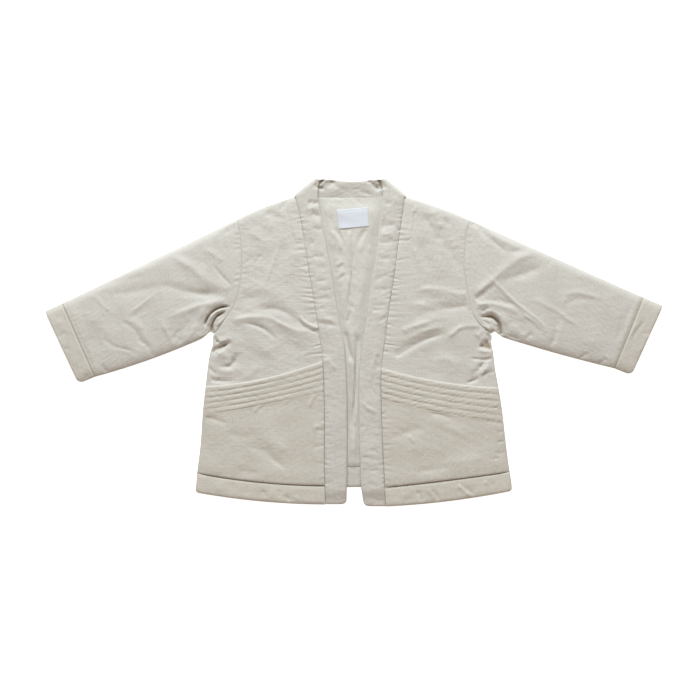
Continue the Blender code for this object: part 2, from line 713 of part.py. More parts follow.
def cuff_place(side, along, down):
    """along runs from the cuff seam to the sleeve's end, whose lower corner is rounded."""
    seam = Vector(side["cuff_seam"]["top"]).lerp(Vector(side["cuff_seam"]["bottom"]), down)
    end = Vector(side["cuff_end"]["top"]).lerp(Vector(side["cuff_end"]["bottom"]), down)
    length = (Vector(side["cuff_end"]["top"]) - Vector(side["cuff_end"]["bottom"])).length
    lower = 1 - dome((1 - down) * length, CUFF_CORNER)
    upper = 1 - dome(down * length, CUFF_CORNER / 2)
    run = (end - seam).length
    back = (CUFF_CORNER * lower + CUFF_CORNER / 2 * upper) / run * along**3
    return seam.lerp(end, along - back)


def flat_tube_ring(place, across, wall, top_at, floor):
    """A flattened ring: over the top from fold to fold, then back under. place gives x and y for a share."""
    start, end = place(0), place(1)
    width = (end - start).length
    first, last = wall / width, 1 - wall / width
    over, under = [], []
    for share in across:
        down = mix(first, last, share)
        x, y = place(down)
        reach = min(share, 1 - share) * (last - first) * width
        rolled = dome(reach, FOLD_RADIUS - wall)
        top = top_at(x, y, down)
        over.append(Vector((x, y, mix(SLEEVE_FOLD_HEIGHT, top, rolled))))
        under.append(Vector((x, y, mix(SLEEVE_FOLD_HEIGHT, floor, rolled))))
    return over + under[-2:0:-1]


def sleeve_lift(down):
    return SLEEVE_LIFT * (4 * down * (1 - down)) ** SLEEVE_FULLNESS


def sleeve_outer_top(x, y, down):
    height = SLEEVE_INNER_TOP + sleeve_lift(down) + WALL + relief(x, y)
    return max(height, SLEEVE_INNER_FLOOR + LAYER_GAP + THINNEST_WALL)


def sleeve_inner_top(x, y, down):
    return min(SLEEVE_INNER_TOP + sleeve_lift(down), sleeve_outer_top(x, y, down) - THINNEST_WALL)


def sleeve_seam_top(x, y, down):
    """The sleeve's face where it rolls down to meet the armhole or the cuff."""
    return sleeve_outer_top(x, y, down) - SEAM_GROOVE


OUTER_SHARES = (0, 0.012, 0.04, 0.09, *(0.14 + 0.08 * i for i in range(10)), 0.91, 0.96, 0.988, 1)
INNER_SHARES = (0, 0.03, 0.1, 0.25, 0.42, 0.58, 0.75, 0.9, 0.97, 1)


def make_sleeve(side_name):
    side = SIDES[side_name]
    stations = [0, 0.012, 0.04, *(0.085 + 0.062 * i for i in range(14)), 0.96, 0.985, 0.9985]
    outer, inner = [], []
    for along in stations:
        place = lambda down, along=along: sleeve_place(side, along, down)
        at_seam = along in (stations[0], stations[-1])
        top = sleeve_seam_top if at_seam else sleeve_outer_top
        outer.append(flat_tube_ring(place, OUTER_SHARES, 0, top, 0))
        inner.append(flat_tube_ring(place, INNER_SHARES, WALL, sleeve_inner_top, SLEEVE_INNER_FLOOR))
    return tube_from_rings(f"sleeve_{side_name}", outer, inner, "shell")


def make_cuff(side_name):
    """Each station is a share of the cuff's depth with how far its wall has rounded off there."""
    side = SIDES[side_name]
    outer, inner = [], []
    for along, thinned in ((0.02, 0.5), (0.12, 0), (0.5, 0), (0.82, 0), (0.94, 0.35), (1.0, 1.1)):
        place = lambda down, along=along: cuff_place(side, along, down)
        inside = thinned * CUFF_INNER_ROUND
        top = lambda x, y, down, thinned=thinned: sleeve_outer_top(x, y, down) - thinned
        under = lambda x, y, down, inside=inside: sleeve_inner_top(x, y, down) + inside
        floor = SLEEVE_INNER_FLOOR - inside
        outer.append(flat_tube_ring(place, OUTER_SHARES, 0, top, thinned / 2))
        inner.append(flat_tube_ring(place, INNER_SHARES, WALL, under, floor))
    return tube_from_rings(f"cuff_{side_name}", outer, inner, "shell")


# The collar band: one strip from hem to hem, folded over at each shoulder.


def band_section(free, seam, normal, thickness):
    """The ring round the strip at one place: over its outer face from seam to free edge, and back inside."""
    half = thickness / 2
    thin = half * BAND_EDGE_THIN
    outside = ((0, half - SEAM_GROOVE), (0.08, half), (0.5, half + BAND_CROWN), (0.9, half), (0.98, thin))
    inside = ((0.98, -thin), (0.9, -half), (0.08, -half), (0, -half + BAND_SEAM_THIN))
    ring = [seam.lerp(free, share) + normal * height for share, height in outside]
    ring.append(free.copy())
    ring += [seam.lerp(free, share) + normal * height for share, height in inside]
    return ring


def band_front_sections(side):
    """Sections down one front, from just below the crease to the hem."""
    top = side["crease"]["free"][1]
    seam_top = side["crease"]["seam"][1]
    end = side["band_end"]
    length = top - end
    drops = [6, 14, 23, 33, 44, 56, 68, NECK_FAN]
    count = round((length - NECK_FAN - 16) / BAND_ROW_PITCH)
    drops += [mix(NECK_FAN, length - 16, i / count) for i in range(1, count + 1)]
    drops += [length - rest for rest in (10, 6, 3, 0)]
    sections = []
    for drop in drops:
        y = top - drop
        lag = (top - seam_top) * (1 - ease(0, NECK_FAN, drop))
        seam_y = y - lag
        corner = BAND_CORNER * (1 - dome(y - end, BAND_CORNER))
        towards = -side["sign"]
        ease_in = 1 - ease(0, CREASE_BLEND, drop)
        free_x = mix(side["free_at"](y), side["crease"]["free"][0], ease_in)
        seam_x = mix(side["seam_at"](seam_y) + towards * SEAM_GAP / 2, side["crease"]["seam"][0], ease_in)
        lift = NECK_LIFT * (1 - ease(0, NECK_LIFT_LENGTH, drop))
        floor = FRONT_FLOOR - droop(y)
        thickness = BAND_WALL * mix(BAND_END_THIN, 1, dome(y - end, BAND_END_ROUND))
        middle = floor + BAND_WALL / 2
        free = Vector((free_x - towards * corner, y, middle + lift))
        seam = Vector((seam_x, seam_y, middle + lift * NECK_SEAM_LIFT / NECK_LIFT))
        sections.append((free, seam, Vector((0, 0, 1)), thickness))
    return sections


def band_crease_sections(side):
    """The fold over one shoulder: the strip turns half round about the crease, from front to back."""
    free_axis = Vector((*side["crease"]["free"], 0))
    seam_axis = Vector((*side["crease"]["seam"], 0))
    along = (free_axis - seam_axis).normalized()
    outward = Vector((along.y, -along.x, 0)) * side["sign"]
    upper = FRONT_FLOOR + BAND_WALL / 2
    free_ends = (upper + NECK_LIFT, BACK_NECK_FREE_MID)
    seam_ends = (upper + NECK_SEAM_LIFT, BACK_NECK_SEAM_MID)
    sections = []
    for i in range(CREASE_STEPS + 1):
        turn = math.pi * i / CREASE_STEPS
        normal = outward * math.sin(turn) + Vector((0, 0, math.cos(turn)))
        places = []
        for axis, (high, low) in ((free_axis, free_ends), (seam_axis, seam_ends)):
            radius = (high - low) / 2
            places.append(axis + Vector((0, 0, (high + low) / 2)) + normal * radius)
        sections.append((*places, normal, CREASE_WALL))
    return sections


def band_back_sections():
    """Sections round the back of the neck, between the two creases, whose inner face looks up."""
    left, right = SIDES["left"]["crease"], SIDES["right"]["crease"]
    free_line = smooth_table(NECK_FREE_EDGE)
    seam_line = straight_table(NECK_SEAM)
    sections = []
    for i in range(1, NECK_BACK_COUNT):
        share = i / NECK_BACK_COUNT
        free_x = mix(left["free"][0], right["free"][0], share)
        reach_left = (free_x - left["free"][0]) / BACK_NECK_FAN
        reach_right = (right["free"][0] - free_x) / BACK_NECK_FAN
        seam_x = free_x
        seam_x += (left["seam"][0] - left["free"][0]) * (1 - ease(0, 1, reach_left))
        seam_x += (right["seam"][0] - right["free"][0]) * (1 - ease(0, 1, reach_right))
        free = Vector((free_x, free_line(free_x), BACK_NECK_FREE_MID))
        seam = Vector((seam_x, seam_line(seam_x), BACK_NECK_SEAM_MID))
        sections.append((free, seam, Vector((0, 0, -1)), CREASE_WALL))
    return sections


def make_collar_band():
    left, right = SIDES["left"], SIDES["right"]
    sections = list(reversed(band_front_sections(left)))
    sections += band_crease_sections(left)
    sections += band_back_sections()
    sections += list(reversed(band_crease_sections(right)))
    sections += band_front_sections(right)
    shell = bmesh.new()
    made = join_rings(shell, [band_section(*section) for section in sections])
    for ring in (made[0], made[-1]):
        shell.faces.new(ring)
    return finish("collar_band", shell, "shell")


def clear_scene():
    for old in list(bpy.data.objects):
        bpy.data.objects.remove(old)


clear_scene()
JACKET = bpy.data.collections.new("kimono_jacket")
bpy.context.scene.collection.children.link(JACKET)
MATERIALS = {name: material(name, colour) for name, colour in COLOURS.items()}

for half in SIDES.values():
    prepare_side(half)
make_back()
make_hem_back()
make_lining()
make_label()
for half_name in SIDES:
    make_front(half_name)
    make_pocket(half_name)
    make_hem_front(half_name)
    make_sleeve(half_name)
    make_cuff(half_name)
make_collar_band()
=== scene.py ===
import math

import bmesh
import bpy
import numpy as np
from mathutils import Matrix, Vector


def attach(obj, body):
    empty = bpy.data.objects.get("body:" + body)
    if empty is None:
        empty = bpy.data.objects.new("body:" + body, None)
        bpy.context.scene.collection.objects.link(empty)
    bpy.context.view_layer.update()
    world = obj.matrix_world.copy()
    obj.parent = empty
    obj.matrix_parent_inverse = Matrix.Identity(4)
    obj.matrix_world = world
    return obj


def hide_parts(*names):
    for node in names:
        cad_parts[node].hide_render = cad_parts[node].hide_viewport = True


# A toddler's padded kimono jacket, laid flat with its front up.
# X runs across it, Y up to the collar and Z up from the floor. Tables and sizes are in millimetres.

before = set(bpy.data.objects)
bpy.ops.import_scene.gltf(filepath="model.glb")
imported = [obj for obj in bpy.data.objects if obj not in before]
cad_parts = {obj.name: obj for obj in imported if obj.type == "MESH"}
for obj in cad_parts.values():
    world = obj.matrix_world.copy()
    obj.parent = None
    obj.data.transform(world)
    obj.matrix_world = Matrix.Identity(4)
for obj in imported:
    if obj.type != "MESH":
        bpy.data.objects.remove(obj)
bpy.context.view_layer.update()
print("frame loaded:", len(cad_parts), "solids")

mm = 0.001

layers = {
    "backWall": 2.6,
    "liningFloor": 2.9,
    "liningWall": 1.0,
    "frontFloor": 4.3,
    "frontTop": 7.3,
    "pocketGap": 0.4,
    "pocketWall": 2.4,
    "hemWall": 5.2,
    "sideSeam": 3.3,  # height of the fold down each side
    "edgeWall": 2 * 0.2,  # how thick a sheet is at its seams
    "seamGap": 0.3,
    "shownGap": 0.1,  # the cloth meets closer than its solids at a seam that lies flat
    "foldRadius": 9.0,
    "softRadius": 14.0,  # and its folds are a little fuller
    "innerFoldRadius": 5.0,
    "grooveDepth": 1.0,
    "grooveReach": 3.0,
    "calmReach": 4.0,  # creases fade out this close to a seam, and closer on the narrow pieces
    "hemCalmReach": 3.0,
}

mesh = {
    "pitch": 1.5,  # width of a cell where the cloth shows
    "chestPitch": 1.15,
    "crumpledPitch": 0.85,  # where it is crumpled
    "edgePitch": 0.55,  # and right beside a seam
    "edgeReach": 6.0,
    "waistRows": 52,
    "hiddenRows": 12,
    "rowsPerRib": 8,
    "seamRows": {"front": 0.002, "pocket": 0.004, "hem": 0.012},  # the gaps at a hem's seam, in levels
}


# Lines and easing, on whole arrays of places.

def smoothLine(rows):
    rows = sorted(rows)
    places = np.array([a for a, _ in rows], float)
    values = np.array([b for _, b in rows], float)
    steep = np.diff(values) / np.diff(places)
    slopes = np.concatenate([steep[:1], (steep[:-1] + steep[1:]) / 2, steep[-1:]])

    def value(place):
        i = np.clip(np.searchsorted(places, place, side="left") - 1, 0, len(places) - 2)
        span = places[i + 1] - places[i]
        t = np.clip((place - places[i]) / span, 0, 1)
        rise = t * t * (3 - 2 * t)
        bend = t * (1 - t) ** 2 * slopes[i] * span + t * t * (t - 1) * slopes[i + 1] * span
        return values[i] * (1 - rise) + values[i + 1] * rise + bend

    return value


def straightLine(rows):
    places = [a for a, _ in rows]
    values = [b for _, b in rows]
    return lambda place: np.interp(place, places, values)


def mix(a, b, share):
    return a + (b - a) * share


def ease(start, end, value):
    t = np.clip((value - start) / (end - start), 0, 1)
    return t * t * (3 - 2 * t)


def dome(distance, radius):
    t = np.clip(distance / radius, 0, 1)
    return np.sqrt(1 - (1 - t) ** 2)


def calm(distance, reach=layers["calmReach"]):
    # 0 at a seam, and 1 from reach away
    return np.clip(distance / reach, 0, 1)


def groove(distance, share=1.0):
    return share * layers["grooveDepth"] * (1 - calm(distance, layers["grooveReach"])) ** 2


def spread(length, pitch, fineStart=True, fineEnd=True, closer=None):
    # shares from 0 to 1 along a length, closer together beside an edge and over a crumpled stretch
    places = [0.0]
    while places[-1] < length:
        gone = places[-1]
        near = min(gone if fineStart else length, length - gone if fineEnd else length)
        here = mesh["crumpledPitch"] if closer and closer[0] < gone < closer[1] else pitch
        places.append(gone + float(mix(mesh["edgePitch"], here, ease(0, mesh["edgeReach"], near))))
    return np.array(places) / places[-1]


# Creases. Each is a soft ridge, or a trough below zero, along a line through its points.

foldLook = {
    "boldness": 1.3,
    "crispness": 1.6,  # 2 is a soft round crest and 1 a sharp one
    "soft": 0.14,  # slow swells, and the length between them
    "softLength": 30,
    "sharp": 0.2,
    "wander": (4, 34),  # how far the small wrinkles bend, and over what length
    "wrinkles": (17, 0.22, 45, -0.2, 1.2),  # their spacing and width, and the patches that have them
    "fineWrinkles": (9, 0.3, 30, 0.0, 1.4),
    "fineShare": 0.6,
    "wrinkleLevel": 0.2,
    "crepe": 0.07,
    "crepeLength": 6.5,
    "shadeFrom": 2.1,  # painted shade: a fold this deep starts to darken the cloth's colour
    "shadeTo": 5.4,
    # the colour of the painted shade, which multiplies the cloth's colour in the deepest folds
    "shade": (0.64, 0.57, 0.46),
    "floorSoftness": 0.7,
    "reach": 2.6,  # in widths, where a crease ends sideways
    "uneven": ((0.22, 9, 2.3), (0.1, 23, 1.0)),  # drift in height along it: how much, how fast, and its start
    "widthDrift": (0.15, 7),
    "tickRise": (0.5, 2.1),  # beside a tick the cloth stands up a little: how much, and how far away
    "seamShadeWidth": 0.9,
}


def smoothPath(points, steps=5):
    points = np.array(points, float)
    padded = np.vstack([2 * points[0] - points[1], points, 2 * points[-1] - points[-2]])
    made = []
    for i in range(len(points) - 1):
        a, b, c, d = padded[i : i + 4]
        for t in np.arange(steps) / steps:
            made.append((2 * b + (c - a) * t + (2 * a - 5 * b + 4 * c - d) * t**2
                         + (3 * b - a - 3 * c + d) * t**3) / 2)
    made.append(points[-1])
    return np.array(made)


def crease(height, width, points, lean=0.0, fadeIn=0.3, fadeOut=0.35):
    # lean makes one side of it steeper: the right-hand side, going from its start, above zero
    return {"height": height, "width": width, "path": smoothPath(points), "lean": lean,
            "fadeIn": fadeIn, "fadeOut": fadeOut}


def creaseHeight(x, y, one, turn):
    path = one["path"]
    reach = foldLook["reach"] * one["width"] * (1 + abs(one["lean"]))
    low, high = path.min(0) - reach, path.max(0) + reach
    close = np.nonzero((x > low[0]) & (x < high[0]) & (y > low[1]) & (y < high[1]))
    made = np.zeros_like(x)
    if not close[0].size:
        return made
    px, py = x[close], y[close]
    nearest, along, side = np.full(px.shape, np.inf), np.zeros(px.shape), np.zeros(px.shape)
    gone = 0.0
    for start, end in zip(path, path[1:]):
        run = end - start
        length = math.hypot(*run)
        dx, dy = px - start[0], py - start[1]
        share = np.clip((dx * run[0] + dy * run[1]) / length**2, 0, 1)
        distance = np.hypot(dx - run[0] * share, dy - run[1] * share)
        better = distance < nearest
        nearest = np.where(better, distance, nearest)
        along = np.where(better, gone + share * length, along)
        side = np.where(better, np.sign(run[0] * dy - run[1] * dx), side)
        gone += length
    along = along / gone
    taper = ease(0, one["fadeIn"], along) if one["fadeIn"] else 1.0
    taper = taper * (ease(1, 1 - one["fadeOut"], along) if one["fadeOut"] else 1.0)
    # its height and width drift along it, and differ from one crease to the next
    uneven = 1
    for share, speed, step in foldLook["uneven"]:
        uneven = uneven + share * np.sin(along * speed + turn * step)
    share, speed = foldLook["widthDrift"]
    width = one["width"] * (1 + one["lean"] * side) * (1 + share * np.sin(along * speed + turn))
    made[close] = foldLook["boldness"] * one["height"] * taper * uneven
    made[close] *= np.exp(-((nearest / width) ** foldLook["crispness"]))
    return made


def creased(x, y, creases):
    total = np.zeros_like(x)
    for turn, one in enumerate(creases):
        total += creaseHeight(x, y, one, turn)
    return total


def foldShade(relief):
    # how much painted shade a trough of this relief puts in the cloth's colour, from 0 to 1
    return ease(foldLook["shadeFrom"], foldLook["shadeTo"], -relief)


def seamShade(distance, share, width=foldLook["seamShadeWidth"]):
    # a sewn line gets a thin line of painted shade in the cloth's colour
    return share * np.exp(-((distance / width) ** 2))


def softFloor(height, lowest):
    # a crease that reaches its lowest place rounds off there
    above = height - lowest
    return lowest + (above + np.sqrt(above**2 + foldLook["floorSoftness"] ** 2)) / 2


# Small gathers where a seam draws the cloth in: each tick is a short groove that runs away from the seam.

def tickRow(places, depth=0.5, reach=9.0, width=1.5, seed=1):
    random = np.random.RandomState(seed)
    return [(place, -depth * random.uniform(0.6, 1.25), width * random.uniform(0.75, 1.3),
             reach * random.uniform(0.5, 1.3), random.uniform(-0.25, 0.25)) for place in places]


def scatteredTicks(start, end, spacing, depth=0.3, reach=6.0, width=1.4, seed=1):
    random = np.random.RandomState(seed)
    places, place = [], start
    while place < end:
        places.append(place)
        place += spacing * random.uniform(0.55, 1.6)
    return tickRow(places, depth, reach, width, seed + 1)


def ticked(along, away, ticks):
    total = np.zeros_like(along)
    rise, beside = foldLook["tickRise"]
    for place, height, width, reach, slant in ticks:
        near = np.abs(along - place) < 4 * width + 8
        gap = (along[near] - place - slant * away[near]) / width
        fade = np.exp(-((away[near] / reach) ** 2))
        total[near] += height * fade * (np.exp(-gap * gap) - rise * np.exp(-((np.abs(gap) - beside) ** 2)))
    return total


def waves(x, y, length, seed, count=14):
    # slow, uneven ripples of about one unit, with crests about length apart
    random = np.random.RandomState(seed)
    total = np.zeros_like(x)
    for _ in range(count):
        angle = random.uniform(0, math.tau)
        number = math.tau / (length * random.uniform(0.6, 1.8))
        total += np.sin((x * math.cos(angle) + y * math.sin(angle)) * number + random.uniform(0, math.tau))
    return total / math.sqrt(count / 2)


def wrinkles(x, y, bent, size, seed):
    # sharp folds where ripples cross zero, in patches
    length, width, patch, patchFrom, patchTo = size
    folds = np.exp(-((waves(*bent, length, seed) / width) ** 2))
    return folds * ease(patchFrom, patchTo, waves(x, y, patch, seed + 1)) - foldLook["wrinkleLevel"]


def crinkle(x, y, seed):
    # the cloth's own unevenness: soft swells, small sharp wrinkles and a fine crepe
    reach, length = foldLook["wander"]
    bent = x + reach * waves(x, y, length, seed + 5), y + reach * waves(x, y, length, seed + 6)
    sharp = wrinkles(x, y, bent, foldLook["wrinkles"], seed + 1)
    sharp = sharp + foldLook["fineShare"] * wrinkles(x, y, bent, foldLook["fineWrinkles"], seed + 3)
    made = foldLook["soft"] * waves(x, y, foldLook["softLength"], seed) + foldLook["sharp"] * sharp
    return made + foldLook["crepe"] * waves(x, y, foldLook["crepeLength"], seed + 7)


# The cut of each half. An edge is a row of (y, x) places from the shoulder down.

levelNames = ("shoulder", "underarm", "pocketTop", "ribEnd", "hemLine", "hemEdge")

leftHalf = {
    "name": "left",
    "sign": -1,
    "outer": [(152, -145), (134, -141.2), (116.8, -139.8), (95.4, -139.4), (77.5, -141), (54.2, -145.6),
              (41.8, -150.8), (29.2, -159.8), (16.8, -168.4), (8, -174.8), (-3, -175.6), (-12.5, -178.8),
              (-52.5, -184.5), (-87.5, -188.2), (-127.5, -190.9), (-162.5, -195.2), (-188, -197.2)],
    "bandSeam": [(180.6, -72.5), (156.2, -66.9), (125.8, -61.5), (95.4, -57), (54.2, -49.9), (31.1, -46.4),
                 (7.9, -42.8), (-18.9, -39.2), (-51.1, -37.4), (-104.6, -36.5), (-158.2, -36.5),
                 (-202, -35.6)],
    "freeEdge": [(201.2, -43.2), (183.8, -44.4), (166.8, -41.9), (145.4, -38.2), (127.5, -34.8),
                 (102.5, -30.2), (77.5, -25.8), (54.2, -22.2), (32.9, -18.6), (13.2, -15.1), (0.8, -12.2),
                 (-33.2, -9.4), (-68.9, -8), (-158.2, -8), (-201.5, -8.6)],
    # Y at the side, Y at the band, and the sag between them
    "levels": {"shoulder": (152.9, 181.6, 2.3), "underarm": (8, 8, 0), "pocketTop": (-55, -23.4, -6),
               "ribEnd": (-91.3, -61.8, -1.8), "hemLine": (-163.6, -179.3, -3.6),
               "hemEdge": (-187.7, -202.8, -3.6)},
    "bandEnd": -202.4,
    "crease": {"free": (-43.5, 202.8), "seam": (-71.9, 179.4)},
    "cuffSeam": {"top": (-363.8, 48.2), "bottom": (-323, -43.5)},
    "cuffEnd": {"top": (-385.2, 38.6), "bottom": (-343.2, -52)},
    "sleeveSag": 3.7,
}

rightHalf = {
    "name": "right",
    "sign": 1,
    "outer": [(152, 145), (136.4, 141.1), (116.8, 138.5), (95.4, 137.6), (73.9, 140.2), (50.8, 144.8),
              (32.9, 150.1), (22.1, 157.2), (13.8, 166.9), (7.5, 172.2), (0, 171.8), (-12.5, 174.2),
              (-32.5, 176.6), (-52.5, 180.3), (-82.5, 185.2), (-122.5, 189.8), (-152.5, 193.5),
              (-175, 197), (-186, 197.8)],
    "bandSeam": [(181.2, 63.8), (157.9, 60.8), (125.8, 56.4), (104.2, 53.6), (77.5, 50.1), (54.2, 46.5),
                 (31.1, 43), (6.1, 40), (-20.8, 36.3), (-42.1, 34.6), (-77.9, 34.9), (-113.6, 36.1),
                 (-149.2, 37.6), (-204.5, 40.6)],
    "freeEdge": [(202, 35), (182.9, 36.2), (166.8, 34), (141.8, 31.4), (109.6, 27.8), (81.1, 23.2),
                 (50.8, 18.9), (23.9, 15.2), (2.5, 11.8), (-24.2, 8.1), (-51.1, 6.4), (-86.8, 6.4),
                 (-122.5, 6.9), (-149.2, 8.1), (-179.6, 9.4), (-204.5, 13)],
    "levels": {"shoulder": (152.4, 181.8, 1.6), "underarm": (7.5, 7.5, 0), "pocketTop": (-56.4, -32.4, -4.6),
               "ribEnd": (-100, -70.8, -3), "hemLine": (-161.8, -181.4, -1),
               "hemEdge": (-185.7, -205.3, -3.1)},
    "bandEnd": -205,
    "crease": {"free": (35, 203), "seam": (63.4, 179)},
    "cuffSeam": {"top": (361.8, 55.9), "bottom": (326, -33)},
    "cuffEnd": {"top": (386.1, 45.4), "bottom": (346.7, -41.4)},
    "sleeveSag": 1.7,
}

neck = {
    "seam": [(-71.4, 178.6), (-59.5, 180.6), (-44, 181.1), (-4, 180.9), (33, 182.3), (51, 181.2),
             (62.6, 178.8)],
    "freeEdge": [(-43.5, 202.8), (-35, 203.3), (-24, 202.2), (-4, 200.7), (10, 201), (26, 203), (35, 203)],
    "shoulders": [(-145, 152.9), (-110, 168.6), (-77, 180.6), (67.5, 181), (108, 167.2), (145, 152.4)],
    "clearance": 0.7,
    "cornerClearance": -0.3,
    "cornerRows": (175.5, 180.8),
}

halves = (leftHalf, rightHalf)
for half in halves:
    half["outerLine"] = smoothLine(half["outer"])
    half["seamLine"] = smoothLine(half["bandSeam"])
    half["freeLine"] = smoothLine(half["freeEdge"])
    columns = zip(*(half["levels"][name] for name in levelNames))
    half["levelLines"] = [straightLine(list(enumerate(column))) for column in columns]


def placeOnFront(half, row, share, inset=0.0):
    # row counts down the levels, and share runs from the side to the band
    outerY, innerY, sag = (line(row) for line in half["levelLines"])
    corner = neck["cornerClearance"] * ease(*neck["cornerRows"], innerY)
    outerX = half["outerLine"](outerY) - half["sign"] * inset
    innerX = half["seamLine"](innerY) + half["sign"] * (layers["shownGap"] / 2 + corner)
    return mix(outerX, innerX, share), mix(outerY, innerY, share) + sag * 4 * share * (1 - share)


def frontEdges(half, row, share, first, last, inset=0.0):
    # each place's distances to the edges of its piece
    x, y = placeOnFront(half, row, share, inset)
    outerX, outerY = placeOnFront(half, row, np.zeros_like(row), inset)
    innerX, innerY = placeOnFront(half, row, np.ones_like(row), inset)
    width = np.hypot(innerX - outerX, innerY - outerY)
    near = {"row": row, "side": share * width + inset, "band": (1 - share) * width}
    for name, level in (("start", first), ("end", last)):
        atX, atY = placeOnFront(half, np.full_like(row, level), share, inset)
        near[name] = np.hypot(x - atX, y - atY)
    return x, y, near


# Mesh tools.

def weaveMap(shape, weave):
    # the weave follows the cloth, so its place on the cut is kept as a UV map, in metres
    corners = np.empty(len(shape.loops), dtype=np.int32)
    shape.loops.foreach_get("vertex_index", corners)
    layer = shape.uv_layers.new(name="weave")
    layer.data.foreach_set("uv", (np.stack(weave, 1)[corners] * mm).ravel())


def addPiece(name, bm, weave, finish, facet=50, fold=None):
    bmesh.ops.recalc_face_normals(bm, faces=bm.faces)
    shape = bpy.data.meshes.new(name)
    bm.to_mesh(shape)
    bm.free()
    shape.shade_smooth()
    shape.set_sharp_from_angle(angle=math.radians(facet))
    if weave is not None:
        weaveMap(shape, weave)
    if fold is not None:
        shape.attributes.new("fold", "FLOAT", "POINT").data.foreach_set("value", fold)
    piece = bpy.data.objects.new(name, shape)
    piece.data.materials.append(finishes[finish])
    bpy.context.scene.collection.objects.link(piece)
    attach(piece, "root")
    return piece


def laidPiece(name, columns, rows, place, finish):
    # a closed, two-sided sheet: place takes rows, columns and which side, and gives x, y, z and the weave
    bm = bmesh.new()
    bmesh.ops.create_grid(bm, x_segments=len(columns) - 1, y_segments=len(rows) - 1, size=0.5)
    made = bmesh.ops.extrude_face_region(bm, geom=bm.faces[:], use_keep_orig=True)
    lower = [part for part in made["geom"] if isinstance(part, bmesh.types.BMVert)]
    bmesh.ops.translate(bm, verts=lower, vec=(0, 0, -1))
    grid = np.array([vert.co[:] for vert in bm.verts])
    share = columns[np.rint((grid[:, 0] + 0.5) * (len(columns) - 1)).astype(int)]
    row = rows[np.rint((grid[:, 1] + 0.5) * (len(rows) - 1)).astype(int)]
    x, y, z, weave, *fold = place(row, share, grid[:, 2] < -0.5)
    for vert, point in zip(bm.verts, np.stack([x, y, z], 1) * mm):
        vert.co = point
    return addPiece(name, bm, weave, finish, fold=fold[0] if fold else None)


def tubePiece(name, turns, rows, place, wall, finish):
    # a flattened tube, open at both ends: turns run over its top from 0 to 1, and on below to 2
    bm = bmesh.new()
    bmesh.ops.create_grid(bm, x_segments=len(turns) - 1, y_segments=len(rows) - 1, size=0.5)
    grid = np.array([vert.co[:] for vert in bm.verts])
    turn = turns[np.rint((grid[:, 0] + 0.5) * (len(turns) - 1)).astype(int)]
    row = rows[np.rint((grid[:, 1] + 0.5) * (len(rows) - 1)).astype(int)]
    x, y, z, weave, fold = place(row, np.where(turn > 1, 2 - turn, turn), turn > 1)
    for vert, point in zip(bm.verts, np.stack([x, y, z], 1) * mm):
        vert.co = point
    keep = bm.verts.layers.float_vector.new("cut")
    for vert, at in zip(bm.verts, np.stack([*weave, fold], 1)):
        vert[keep] = at
    bmesh.ops.remove_doubles(bm, verts=bm.verts, dist=0.00002)
    bmesh.ops.recalc_face_normals(bm, faces=bm.faces)
    bmesh.ops.solidify(bm, geom=bm.faces[:], thickness=wall * mm)
    for vert in bm.verts:
        vert.co.z = max(vert.co.z, 0)
    cut = np.array([vert[keep][:] for vert in bm.verts])
    bm.verts.layers.float_vector.remove(keep)
    return addPiece(name, bm, (cut[:, 0], cut[:, 1]), finish, fold=cut[:, 2])


# Finishes.

shellCloth = {"threads": 1900, "depth": 0.0006, "roughness": 0.92, "sheen": 0.12, "slot": "shell"}

finishLooks = {
    "shell": {**shellCloth, "light": (0.72, 0.694, 0.657), "dark": (0.58, 0.555, 0.52), "slub": 0.52,
              "crepe": 0.9},
    # the pockets and cuffs: the shell's cloth painted pinker, standing in for the warm light that falls on
    # them
    "pocket": {**shellCloth, "light": (0.72, 0.685, 0.635), "dark": (0.58, 0.545, 0.495), "slub": 0.44,
               "crepe": 0.8},
    # the hems: the shell's cloth painted lighter and warmer, lifting the shade that falls on their rolled
    # shape
    "hem": {**shellCloth, "light": (0.755, 0.718, 0.664), "dark": (0.61, 0.574, 0.52), "slub": 0.48,
            "crepe": 0.8},
    "lining": {"light": (0.75, 0.725, 0.68), "dark": (0.63, 0.605, 0.565), "threads": 2600, "slub": 0.5,
               "crepe": 0.7, "depth": 0.0006, "roughness": 0.85, "sheen": 0.1, "slot": "lining"},
    "label": {"light": (0.76, 0.79, 0.86), "dark": (0.66, 0.69, 0.77), "threads": 3200, "slub": 0.4,
              "crepe": 0.6, "depth": 0.0003, "roughness": 0.6, "sheen": 0.05, "slot": "label"},
}
threadLook = {"light": (0.70, 0.66, 0.58), "dark": (0.52, 0.48, 0.41), "twist": 900.0, "bump": 0.5,
              "depth": 0.0001, "roughness": 0.7}

weaveLook = {
    "wander": {"Scale": 240.0, "Detail": 2.0},
    "wanderReach": 0.0004,
    "slubStretch": (30.0, 520.0),  # along a thread and across it
    "crepe": {"Scale": 330.0, "Detail": 4.0, "Roughness": 0.62, "Distortion": 0.6},
    "mottle": {"Scale": 26.0, "Detail": 3.0},
    "weaveHeight": 0.22,
    "shades": {"weave": 0.1, "slub": 0.5, "mottle": 0.5},
    "rampStops": (0.2, 0.85),
    "bump": 0.8,
    "specular": 0.2,
}


def setInputs(tree, node, inputs):
    # each is another node's output to link, or a value
    for name, value in inputs.items():
        if isinstance(value, bpy.types.NodeSocket):
            tree.links.new(value, node.inputs[name])
        else:
            node.inputs[name].default_value = value


def addNode(tree, kind, inputs=None, **settings):
    node = tree.nodes.new(kind)
    for name, value in settings.items():
        setattr(node, name, value)
    setInputs(tree, node, inputs or {})
    return node


def addMath(tree, operation, a, b=0.0):
    return addNode(tree, "ShaderNodeMath", {0: a, 1: b}, operation=operation).outputs[0]


